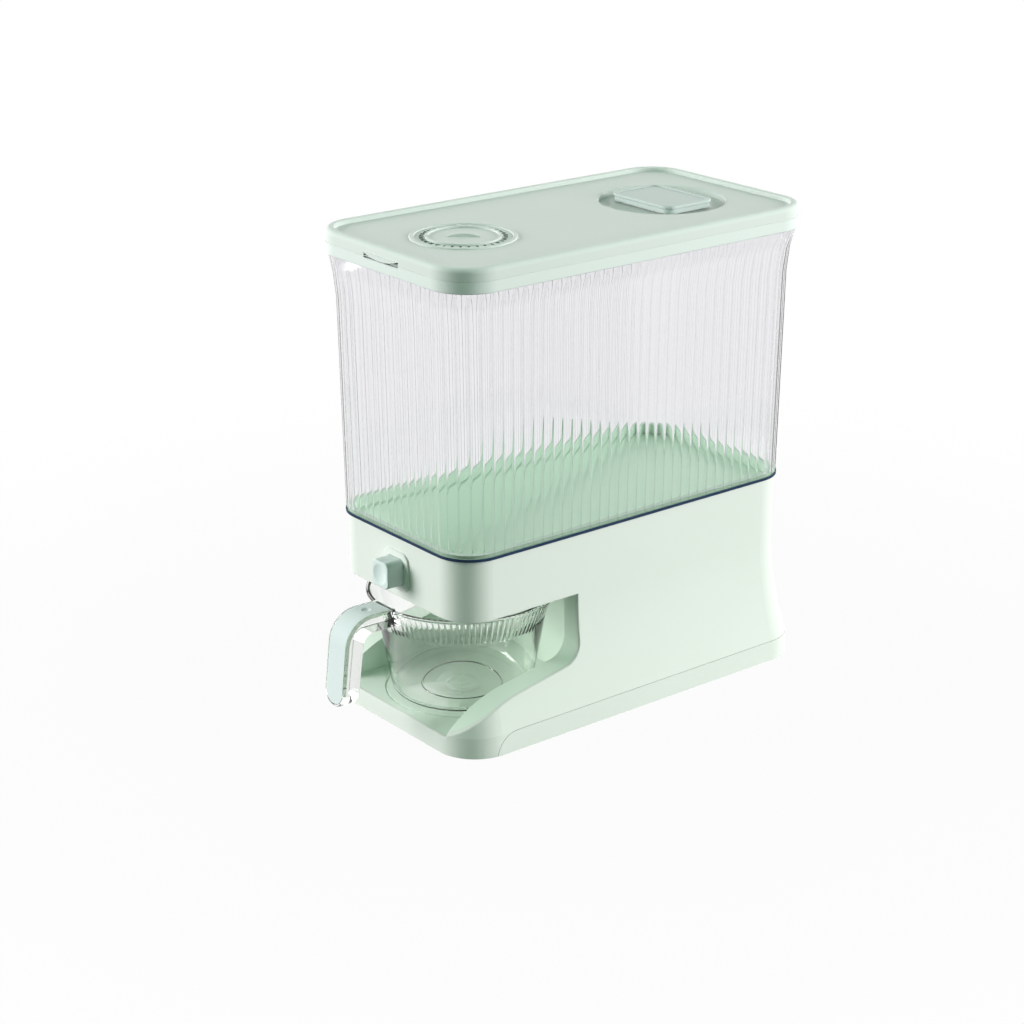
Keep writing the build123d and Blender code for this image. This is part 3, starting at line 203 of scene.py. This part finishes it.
spring = copy_of("return_spring", "return_coil")
spring.data.materials.clear()
spring.data.materials.append(steel)
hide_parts("return_spring")
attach(spring, "base")
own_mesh(spring)

# Push button: a square key with a dished face, moulded in the mint plastic with a glossier skin. One
# screw holds the gate's tab to its back.
button_mint = moulded_plastic("button_mint", (0.70, 0.76, 0.765, 1), (0.68, 0.74, 0.745, 1), 0.26)
dress(button_mint, "push_button")


# Container gasket: a dark ring of rubber pressed between the base's rim and the container. A thin lip
# on its outside stands up round the container's foot.
def plan_point(share, half_width, front, rear, corner):
    """A point and its outward direction on a rounded oblong, at a share of the way round it."""
    straight_x = 2 * (half_width - corner)
    straight_y = rear - front - 2 * corner
    arc = corner * math.pi / 2
    way = share * (2 * straight_x + 2 * straight_y + 4 * arc)
    runs = [
        (straight_y, "line", (half_width, front + corner), (0, 1), (1, 0)),
        (arc, "arc", (half_width - corner, rear - corner), 0.0, None),
        (straight_x, "line", (half_width - corner, rear), (-1, 0), (0, 1)),
        (arc, "arc", (-half_width + corner, rear - corner), math.pi / 2, None),
        (straight_y, "line", (-half_width, rear - corner), (0, -1), (-1, 0)),
        (arc, "arc", (-half_width + corner, front + corner), math.pi, None),
        (straight_x, "line", (-half_width + corner, front), (1, 0), (0, -1)),
        (arc, "arc", (half_width - corner, front + corner), 1.5 * math.pi, None),
    ]
    for length, kind, start, course, out in runs:
        if way <= length:
            break
        way -= length
    if kind == "line":
        return start[0] + course[0] * way, start[1] + course[1] * way, out[0], out[1]
    angle = course + way / corner
    out_x, out_y = math.cos(angle), math.sin(angle)
    return start[0] + corner * out_x, start[1] + corner * out_y, out_x, out_y


def drawn_in(plan, by):
    """A plan drawn in by a wall, or let out where the wall is negative."""
    return (plan[0] - by, plan[1] + by, plan[2] - by, plan[3] - by)


weld_distance = 0.000005
smooth_angle = math.radians(40)


def wrapped_grid(name, around, rings, place, painted_shade=None):
    """A flat grid wrapped into a closed wall. Each ring of it is placed by its own values, and a wall
    with painted shade keeps how much of it each point gets as an attribute."""
    deselect_all()
    bpy.ops.mesh.primitive_grid_add(x_subdivisions=around, y_subdivisions=len(rings) - 1, size=1)
    wall = bpy.context.object
    wall.name = name
    marks = wall.data.attributes.new("painted_shade", "FLOAT", "POINT") if painted_shade else None
    for vertex in wall.data.vertices:
        share = (vertex.co.x + 0.5) % 1.0
        values = rings[round((vertex.co.y + 0.5) * (len(rings) - 1))]
        vertex.co = place(share, *values)
        if painted_shade:
            marks.data[vertex.index].value = painted_shade(share, *values)
    bpy.ops.object.mode_set(mode="EDIT")
    bpy.ops.mesh.select_all(action="SELECT")
    bpy.ops.mesh.remove_doubles(threshold=weld_distance)
    bpy.ops.mesh.normals_make_consistent(inside=False)
    bpy.ops.object.mode_set(mode="OBJECT")
    bpy.ops.object.shade_smooth_by_angle(angle=smooth_angle)
    return wall


def on_plan(share, height, plan):
    """A point of a plain ring at one height."""
    x, y = plan_point(share, *plan)[:2]
    return x, y, height


# Half width, front, rear and corner of the container's foot
foot_plan = (0.0833, -0.1678, 0.1643, 0.030)
foot_height = 0.1544
plan_steps = 240
touch_gap = 0.00005
gasket_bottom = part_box("container_gasket")[0][2]
gasket_seat = foot_height - touch_gap
gasket_width = 0.0040
gasket_inside = drawn_in(foot_plan, gasket_width)
lip_height = 0.1552
lip_round = 0.0002
lip_thickness = 0.0004
lip_outside = drawn_in(foot_plan, -lip_thickness)
lip_inside = drawn_in(foot_plan, -touch_gap)
gasket_rings = [
    (gasket_bottom, gasket_inside),
    (gasket_bottom, lip_outside),
    (lip_height - lip_round, lip_outside),
    (lip_height, drawn_in(foot_plan, -lip_thickness / 2)),
    (lip_height, lip_inside),
    (gasket_seat, lip_inside),
    (gasket_seat, gasket_inside),
    (gasket_bottom, gasket_inside),
]
gasket = wrapped_grid("gasket_lipped", plan_steps, gasket_rings, on_plan)
gasket_navy, recipe = new_finish("gasket_navy")
place = recipe.node("TexCoord", out="Object")
bloom = recipe.node("TexNoise", {}, {"Vector": place, "Scale": 90.0, "Detail": 3.0})
colour = recipe.node(
    "Mix", {"data_type": "RGBA"}, {0: bloom, 6: (0.010, 0.022, 0.060, 1), 7: (0.025, 0.045, 0.10, 1)}, out=2
)
surface = recipe.node(
    "BsdfPrincipled", {}, {"Base Color": colour, "Roughness": bloom * 0.15 + 0.5, "Specular IOR Level": 0.2}
)
recipe.node("OutputMaterial", {}, {"Surface": surface})
gasket.data.materials.append(gasket_navy)
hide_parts("container_gasket")
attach(gasket, "base")


# Container: a clear box of polystyrene with hollow upright flutes on its outside and a narrow ridge
# between each two, flared at the mouth. It is one moulding, and its skirt drops inside the base's rim.
# The skirt is painted an opaque, darker copy of the hopper's green: painted shade for the shaded
# hopper seen through the clear foot.
def clear_plastic(name, tint, roughness, painted_shade_tint):
    """Clear moulded plastic that lamps shine through, with faint flow marks. Its colour is painted greyer
    where the attribute says, as painted shade: along ridges, between ribs and in thick places."""
    material, recipe = new_finish(name)
    place = recipe.node("TexCoord", out="Object")
    flow = recipe.node("TexNoise", {}, {"Vector": place, "Scale": 25.0, "Detail": 4.0})
    painted_shade = recipe.node("Attribute", {"attribute_name": "painted_shade"}, out="Fac")
    # Painted shade: the tint is mixed towards a grey by the attribute
    colour = recipe.node("Mix", {"data_type": "RGBA"}, {0: painted_shade, 6: tint, 7: painted_shade_tint}, out=2)
    glass = recipe.node(
        "BsdfPrincipled",
        {},
        {
            "Base Color": colour,
            "Roughness": flow * 0.03 + roughness,
            "IOR": 1.45,
            "Transmission Weight": 1.0,
        },
    )
    passed = recipe.node("BsdfTransparent", {}, {"Color": tint})
    shadow = recipe.node("LightPath", out="Is Shadow Ray")
    diffuse = recipe.node("LightPath", out="Is Diffuse Ray")
    surface = recipe.node("MixShader", {}, {0: shadow + diffuse, 1: glass, 2: passed})
    recipe.node("OutputMaterial", {}, {"Surface": surface})
    return material


flutes = 104
flute_steps = 10
flute_depth = 0.00022
ridge_rise = 0.00036
ridge_share = 0.10
ridge_sharpness = 12
end_share = 0.5
# Share of painted grey shade over the thick plain flare
flare_painted_shade = 0.25
# Slack for numbers that are meant to be equal: in a count of flutes, and in a place
count_slack = 0.001
place_slack = 0.00001
container_wall = 0.0024
shoulder_height, shoulder_plan = 0.3220, (0.0854, -0.1706, 0.1652, 0.030)
neck_height, neck_plan = 0.3410, (0.0869, -0.1720, 0.1663, 0.030)
mouth_height, mouth_plan = 0.3540, (0.0901, -0.1734, 0.1679, 0.030)
container_top = 0.3621
skirt_bottom = 0.1490
skirt_gap, skirt_wall = 0.0051, 0.0020
skirt_out = drawn_in(foot_plan, skirt_gap)
skirt_in = drawn_in(foot_plan, skirt_gap + skirt_wall)
web_height = 0.1574


def between(low, high, share):
    """A plan part of the way from one to the next."""
    return tuple(a + (b - a) * share for a, b in zip(low, high))


def up_to(low_height, low, high_height, high, shares, depths):
    """Rings on the way up from one plan to the next, with the flutes' depth at each."""
    return [
        (low_height + (high_height - low_height) * share, between(low, high, share), depth)
        for share, depth in zip(shares, depths)
    ]


def across_flute(share):
    """A point's flute and how far across it lies, -1 to 1. Points stand closer near the ridges."""
    flute = math.floor(share * flutes + count_slack)
    across = 2 * (share * flutes - flute) - 1
    return flute, math.copysign(1 - (1 - abs(across)) ** 2, across)


def on_ends(out_x):
    """Flutes and ridges are full on the long sides and shallower on the two ends of the box."""
    return end_share + (1 - end_share) * abs(out_x)


def on_flutes(share, height, plan, depth):
    """A point of the wall: a shallow hollow across each flute, and a narrow round ridge beside it."""
    flute, across = across_flute(share)
    x, y, out_x, out_y = plan_point((flute + (across + 1) / 2) / flutes % 1.0, *plan)
    hollow = flute_depth * (1 - across**2)
    beside = 1 - math.exp(-(((1 - abs(across)) / ridge_share) ** 2))
    sunk = depth * (hollow + ridge_rise * beside) * on_ends(out_x)
    return x - out_x * sunk, y - out_y * sunk, height


def on_ridge(share, height, plan, depth):
    """Painted shade, most along the ridges between the flutes, and a little in the thick plain flare over
    them.
    """
    across = across_flute(share)[1]
    out_x = plan_point(share, *plan)[2]
    plain = flare_painted_shade if height > neck_height else 0.0
    return depth * on_ends(out_x) * abs(across) ** ridge_sharpness + (1 - depth) * plain


# The flutes run full up to the shoulder and fade out through the neck and the flare
outside = up_to(foot_height, foot_plan, shoulder_height, shoulder_plan, (0, 0.25, 0.5, 0.75), (1, 1, 1, 1))
outside += up_to(shoulder_height, shoulder_plan, neck_height, neck_plan, (0, 0.5), (1, 0.9))
outside += up_to(neck_height, neck_plan, mouth_height, mouth_plan, (0, 0.35, 0.7, 1), (0.8, 0.6, 0.3, 0.1))
outside += [(container_top, mouth_plan, 0)]
inside = [(height, drawn_in(plan, container_wall), 0) for height, plan, depth in reversed(outside)]
inside[-1] = (web_height, drawn_in(foot_plan, container_wall), 0)
skirt = [
    (web_height, skirt_in, 0),
    (skirt_bottom, skirt_in, 0),
    (skirt_bottom, skirt_out, 0),
    (foot_height, skirt_out, 0),
]
container_rings = outside + inside + skirt + outside[:1]
# The grey tint on this wall is painted shade, along the ridges and over the flare
container = wrapped_grid("container_fluted", flutes * flute_steps, container_rings, on_flutes, on_ridge)
container.data.materials.append(
    clear_plastic("container_clear", (0.918, 0.916, 0.928, 1), 0.01, (0.66, 0.66, 0.69, 1))
)
container.data.materials.append(
    moulded_plastic("skirt_painted_hopper_shade", (0.53, 0.675, 0.55, 1), (0.49, 0.645, 0.515, 1), 0.40)
)
# Faces below the web take the skirt's painted shade
for face in container.data.polygons:
    highest = max(container.data.vertices[corner].co.z for corner in face.vertices)
    face.material_index = int(highest < web_height + place_slack)
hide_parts("container")
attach(container, "base")

# Lid frame and lid: the collar over the container's mouth and the hinged lid on it, moulded in the
# mint plastic with a finer, flatter skin. The panel, basket and dial ring are clipped to the lid.
lid_mint = moulded_plastic("lid_mint", (0.735, 0.755, 0.745, 1), (0.705, 0.735, 0.715, 1), 0.40)
dress(lid_mint, "lid_cover", "dial_scale_ring", "dial_knob")
collar_mint = moulded_plastic("collar_mint", (0.77, 0.80, 0.79, 1), (0.74, 0.78, 0.765, 1), 0.40)
dress(collar_mint, "lid_frame")
inner_mint = moulded_plastic("inner_mint", (0.72, 0.82, 0.75, 1), (0.69, 0.79, 0.72, 1), 0.42)
dress(inner_mint, "lid_inner_panel", "desiccant_basket")

# Lid edge bead: a low ridge moulded under the lid's wall, a little inside its outer face. It closes the
# seam over the collar, so that the seam reads as a shallow groove.
lid_plan = (0.0922, -0.1755, 0.1700, 0.0321)
seam_low, seam_high = 0.36505, 0.36540
bead_in, bead_width = 0.00022, 0.0012
bead_rings = [
    (seam_low, drawn_in(lid_plan, bead_in)),
    (seam_high, drawn_in(lid_plan, bead_in)),
    (seam_high, drawn_in(lid_plan, bead_in + bead_width)),
    (seam_low, drawn_in(lid_plan, bead_in + bead_width)),
    (seam_low, drawn_in(lid_plan, bead_in)),
]
bead = wrapped_grid("lid_edge_bead", plan_steps, bead_rings, on_plan)
bead.data.materials.append(lid_mint)
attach(bead, "lid")

# Seals: soft pale silicone rings. One lies under the lid, round its inner panel, and the other under the
# oblong cap, round its plug.
silicone = moulded_plastic("seal_silicone", (0.72, 0.75, 0.74, 1), (0.66, 0.69, 0.68, 1), 0.55)
dress(silicone, "lid_seal", "desiccant_cap_seal")

# Desiccant cap: the oblong cap in the round dish, moulded greyer than the lid and lightly glossed. Its
# plug drops into the basket, and the cap lifts straight out.
cap_mint = moulded_plastic("cap_mint", (0.61, 0.655, 0.65, 1), (0.58, 0.63, 0.625, 1), 0.30)
dress(cap_mint, "desiccant_cap")

# Day numbers: 1 to 31 raised on the dial's track inside its bead, in a deep green, with one arrow mark.
# They are moulded with the ring, so they stay still while the disc turns.
ring_low, ring_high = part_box("dial_scale_ring")
dial_x = (ring_low[0] + ring_high[0]) / 2
dial_y = (ring_low[1] + ring_high[1]) / 2
ring_thickness = 0.0015
track_height = ring_low[2] + ring_thickness
number_radius = 0.0310
number_size = 0.0040
number_rise = 0.00025
number_weight = 0.00012
arrow_foot, arrow_top = 0.0024, 0.0021
days = 31
arrow_angle = math.radians(-75)
number_green = moulded_plastic("number_green", (0.030, 0.10, 0.05, 1), (0.020, 0.08, 0.04, 1), 0.45)


def on_track(piece, angle):
    """Turns a flat mark to face outwards and sets it on the track at an angle."""
    piece.location = (
        dial_x + number_radius * math.cos(angle),
        dial_y + number_radius * math.sin(angle),
        track_height,
    )
    piece.rotation_euler = (0, 0, angle - math.pi / 2)


deselect_all()
bpy.ops.mesh.primitive_cone_add(vertices=3, radius1=arrow_foot, radius2=arrow_top, depth=number_rise)
marks = [bpy.context.object]
bpy.ops.transform.translate(value=(0, 0, number_rise / 2))
bpy.ops.object.transform_apply(location=True, rotation=True, scale=True)
on_track(marks[0], arrow_angle)
for day in range(1, days + 1):
    bpy.ops.object.text_add()
    number = bpy.context.object
    number.data.body = str(day)
    number.data.size = number_size
    number.data.align_x = "CENTER"
    number.data.align_y = "CENTER"
    number.data.resolution_u = 2
    number.data.extrude = number_rise / 2
    number.data.offset = number_weight
    bpy.ops.object.convert(target="MESH")
    on_track(number, arrow_angle + 2 * math.pi * day / (days + 1))
    number.location.z += number_rise / 2
    marks.append(number)
deselect_all()
for mark in marks:
    mark.select_set(True)
bpy.context.view_layer.objects.active = marks[0]
bpy.ops.object.join()
bpy.ops.object.transform_apply(location=True, rotation=True, scale=True)
numbers = bpy.context.object
numbers.name = "dial_day_numbers"
numbers.data.materials.clear()
numbers.data.materials.append(number_green)
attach(numbers, "lid")

# Measuring cup: clear, tapered, with narrow upright ribs round the band under the rim and beads round
# its floor. The handle is moulded with it. Its colour is painted greyer between the ribs and on the
# thick handle, as painted shade.
clear_cup = clear_plastic("cup_clear", (0.955, 0.965, 0.955, 1), 0.01, (0.80, 0.82, 0.79, 1))
cup_y = -0.1055
ribs = 96
rib_steps = 8
rib_depth = 0.0006
rib_half = 0.5
plain_middle, plain_half, plain_fade = math.radians(232), math.radians(34), math.radians(6)
cup_wall = 0.0022
cup_bottom, cup_floor = 0.0142, 0.0026
inner_floor = cup_bottom + cup_floor
cup_foot, cup_foot_round = 0.0540, 0.0070
cup_waist, cup_waist_height = 0.0595, 0.0450
cup_ledge, cup_ledge_height = 0.0640, 0.0706
cup_step, cup_step_height = 0.0645, 0.0735
cup_band, cup_band_height = 0.0650, 0.0760
cup_rim, cup_rim_height = 0.0724, 0.0970
cup_lip = 0.0010
lip_half = cup_wall / 2
lip_round_below, lip_round_above = 0.0003, 0.0004


def foot_bend(foot, floor, band, band_height, bend, steps=6):
    """The rounded foot of the cup's wall in side view, from under it up to its side."""
    lean = math.atan2(band - foot, band_height - floor)
    along = (bend - bend * math.sin(lean)) / math.cos(lean)
    middle_x = foot + along * math.sin(lean) - bend * math.cos(lean)
    turns = [-math.pi / 2 + (math.pi / 2 - lean) * step / steps for step in range(steps + 1)]
    return [(middle_x + bend * math.cos(turn), floor + bend + bend * math.sin(turn), 0) for turn in turns]


def up_band(shares, ribbed, by=0.0):
    """Points up the ribbed band in side view, drawn in by a wall."""
    return [
        (
            cup_band - by + (cup_rim - cup_band) * share,
            cup_band_height + (cup_rim_height - cup_band_height) * share,
            rib,
        )
        for share, rib in zip(shares, ribbed)
    ]


def floor_bead(radius, width, rise):
    """A low round bead on the cup's floor, from its outside in."""
    return [
        (radius + width / 2, inner_floor, 0),
        (radius + width / 4, inner_floor + rise, 0),
        (radius - width / 4, inner_floor + rise, 0),
        (radius - width / 2, inner_floor, 0),
    ]


def between_ribs(share, radius, height, ribbed):
    """One between the ribs and nothing on their crests, or in the plain patch beside the handle's root."""
    across = abs(2 * (share * ribs % 1.0) - 1)
    crest = max(0.0, 1 - (across / rib_half) ** 2)
    off_patch = (abs(share * 2 * math.pi - plain_middle) - plain_half) / plain_fade
    return ribbed * min(1.0, max(0.0, off_patch)) * (1 - crest)


def on_ribs(share, radius, height, ribbed):
    """A point of the ribbed cup. Between its ribs the wall is drawn in by their depth."""
    angle = share * 2 * math.pi
    radius -= rib_depth * between_ribs(share, radius, height, ribbed)
    return radius * math.cos(angle), cup_y + radius * math.sin(angle), height


near_axis = 0.0001
cup_rings = [(near_axis, cup_bottom, 0), (cup_foot / 2, cup_bottom, 0)]
cup_rings += foot_bend(cup_foot, cup_bottom, cup_band, cup_band_height, cup_foot_round)
cup_rings += [
    (cup_waist, cup_waist_height, 0),
    (cup_ledge, cup_ledge_height, 0),
    (cup_step, cup_step_height, 0),
]
cup_rings += up_band((0, 0.03, 0.06, 0.5, 0.9, 0.93), (0, 0.5, 1, 1, 1, 0))
cup_rings += [
    (cup_rim + cup_lip - lip_round_below, cup_rim_height - lip_half, 0),
    (cup_rim + cup_lip, cup_rim_height - lip_half / 2, 0),
    (cup_rim + cup_lip, cup_rim_height + lip_half / 2, 0),
    (cup_rim + cup_lip - lip_round_above, cup_rim_height + lip_half, 0),
    (cup_rim - cup_wall + lip_round_above, cup_rim_height + lip_half, 0),
    (cup_rim - cup_wall, cup_rim_height + lip_half / 2, 0),
]
cup_rings += up_band((0.97, 0.5, 0), (0, 0, 0), cup_wall)
cup_rings += [(cup_waist - cup_wall, cup_waist_height, 0)]
cup_rings += reversed(
    foot_bend(
        cup_foot - cup_wall, inner_floor, cup_band - cup_wall, cup_band_height, cup_foot_round - cup_wall
    )
)
# Each bead's radius, width and rise: one that shows, and two faint ones inside it
for floor_ring in [(0.0313, 0.0016, 0.0007), (0.0125, 0.0024, 0.00012), (0.0050, 0.0024, 0.00012)]:
    cup_rings += floor_bead(*floor_ring)
cup_rings += [(near_axis, inner_floor, 0)]
# The rib mask also paints grey shade between the ribs
cup = wrapped_grid("cup_ribbed", ribs * rib_steps, cup_rings, on_ribs, between_ribs)

# The handle is cut off a copy of the cup, drawn out into the cup's wall and trimmed at the middle of it
handle = copy_of("measuring_cup", "cup_handle")
neck_cut = -0.1792
neck_run = 0.0090
bpy.ops.object.mode_set(mode="EDIT")
bpy.ops.mesh.select_all(action="SELECT")
bpy.ops.mesh.remove_doubles(threshold=weld_distance)
bpy.ops.mesh.select_all(action="SELECT")
bpy.ops.mesh.bisect(plane_co=(0, neck_cut, 0), plane_no=(0, 1, 0), clear_outer=True, use_fill=True)
bpy.ops.mesh.select_mode(type="FACE")
bpy.ops.mesh.select_all(action="DESELECT")
bpy.ops.object.mode_set(mode="OBJECT")
for face in handle.data.polygons:
    face.select = face.center.y > neck_cut - place_slack
bpy.ops.object.mode_set(mode="EDIT")
bpy.ops.mesh.extrude_region_move(TRANSFORM_OT_translate={"value": (0, neck_run, 0)})
bpy.ops.object.mode_set(mode="OBJECT")

deselect_all()
cone_low, cone_high = 0.070, 0.105
cone_steps = 192
cone_lean = (cup_rim - cup_band) / (cup_rim_height - cup_band_height)
mid_wall = cup_band - rib_depth - (cup_wall - rib_depth) / 2
bpy.ops.mesh.primitive_cone_add(
    vertices=cone_steps,
    radius1=mid_wall + cone_lean * (cone_low - cup_band_height),
    radius2=mid_wall + cone_lean * (cone_high - cup_band_height),
    depth=cone_high - cone_low,
    location=(0, cup_y, (cone_low + cone_high) / 2),
)
cutter = bpy.context.object
bpy.ops.object.transform_apply(location=True, rotation=True, scale=True)


def combine(piece, other, operation):
    """Cuts one piece by another or joins it to it, and clears the other away."""
    deselect_all()
    bpy.context.view_layer.objects.active = piece
    piece.select_set(True)
    boolean = piece.modifiers.new("combine", "BOOLEAN")
    boolean.object = other
    boolean.operation = operation
    boolean.solver = "EXACT"
    bpy.ops.object.modifier_apply(modifier=boolean.name)
    bpy.data.objects.remove(other)


combine(handle, cutter, "DIFFERENCE")
combine(cup, handle, "UNION")
bpy.ops.object.shade_smooth_by_angle(angle=smooth_angle)
cup.data.materials.clear()
cup.data.materials.append(clear_cup)
for face in cup.data.polygons:
    face.material_index = 0
# Painted shade: the handle's points get the full grey tint
painted_handle_shade = cup.data.attributes["painted_shade"].data
for vertex in cup.data.vertices:
    if vertex.co.y < neck_cut:
        painted_handle_shade[vertex.index].value = 1.0
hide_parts("measuring_cup")
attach(cup, "cup")

# Handle cover: a strip of the mint plastic with a thumb dimple, lightly glossed. It is let into the
# outside of the cup's handle.
cover_mint = moulded_plastic("cover_mint", (0.73, 0.76, 0.79, 1), (0.70, 0.74, 0.76, 1), 0.30)
dress(cover_mint, "cup_handle_cover")


# Studio: a pale floor that keeps a soft shadow and a white surround. Two wide soft lamps light the
# front and the long side from beyond each edge, and the side between them is left dim and greenish.
def seen_straight(recipe):
    """One for what is seen straight on, in gloss or through clear plastic, and nothing for other light."""
    camera_ray = recipe.node("LightPath", out="Is Camera Ray")
    glossy_ray = recipe.node("LightPath", out="Is Glossy Ray")
    clear_ray = recipe.node("LightPath", out="Is Transmission Ray")
    return camera_ray + glossy_ray + clear_ray


deselect_all()
floor_size, floor_drop = 12.0, 0.0005
bpy.ops.mesh.primitive_plane_add(size=floor_size, location=(0, 0, -floor_drop))
floor = bpy.context.object
floor.name = "floor"
floor_pale, recipe = new_finish("floor_pale")
place = recipe.node("TexCoord", out="Object")
away = recipe.node("VectorMath", {"operation": "LENGTH"}, {0: place}, out="Value")
far = recipe.node(
    "MapRange", {"interpolation_type": "SMOOTHSTEP"}, {"Value": away, "From Min": 0.25, "From Max": 0.85}
)
shade = recipe.node(
    "Mix", {"data_type": "RGBA"}, {0: far, 6: (0.30, 0.30, 0.30, 1), 7: (0.05, 0.05, 0.05, 1)}, out=2
)
card = recipe.node("BsdfDiffuse", {}, {"Color": shade})
white = recipe.node("Emission", {}, {"Color": (1, 1, 1, 1), "Strength": 1.0})
seen = seen_straight(recipe) * (far * 0.04 + 0.96)
surface = recipe.node("MixShader", {}, {0: seen, 1: card, 2: white})
recipe.node("OutputMaterial", {}, {"Surface": surface})
floor.data.materials.append(floor_pale)

world = bpy.data.worlds.new("surround")
bpy.context.scene.world = world
world.use_nodes = True
world.node_tree.nodes.clear()
recipe = Recipe(world.node_tree)
seen = seen_straight(recipe)
dim_side = (0.78, -0.62, -0.20)
way = recipe.node("TexCoord", out="Generated")
toward = recipe.node("VectorMath", {"operation": "DOT_PRODUCT"}, {0: way, 1: dim_side}, out="Value")
lit_side = recipe.node(
    "MapRange", {"interpolation_type": "SMOOTHSTEP"}, {"Value": toward, "From Min": 0.30, "From Max": -0.55}
)
tint = recipe.node(
    "Mix", {"data_type": "RGBA"}, {0: lit_side + seen, 6: (0.16, 1.0, 0.42, 1), 7: (1, 1, 1, 1)}, out=2
)
level = (1 - seen) * (lit_side * 0.30 + 0.21) + seen
sky = recipe.node("Background", {}, {"Color": tint, "Strength": level})
recipe.node("OutputWorld", {}, {"Surface": sky})

lamp_target = Vector((0, 0, 0.18))
lamp_size = 1.6
lamp_power = 108.0


def soft_lamp(name, place):
    """A wide soft lamp aimed at the middle of the object."""
    bpy.ops.object.light_add(type="AREA", location=place)
    lamp = bpy.context.object
    lamp.name = name
    lamp.data.shape = "RECTANGLE"
    lamp.data.size = lamp_size
    lamp.data.size_y = lamp_size
    lamp.data.energy = lamp_power
    lamp.visible_glossy = False
    lamp.rotation_euler = (lamp_target - Vector(place)).to_track_quat("-Z", "Y").to_euler()


soft_lamp("lamp_front_left", (-1.86, -2.22, 0.98))
soft_lamp("lamp_right_rear", (2.22, 1.86, 0.98))

camera_place = (1.3340, -1.1185, 0.7848)
camera_way = Vector((-0.7325, 0.5836, -0.3506))
bpy.ops.object.camera_add(location=camera_place)
camera = bpy.context.object
camera.rotation_euler = camera_way.to_track_quat("-Z", "Y").to_euler()
camera.data.sensor_width = 36.0
camera.data.lens = 82.64
bpy.context.scene.camera = camera
bpy.context.scene.view_settings.view_transform = "Standard"
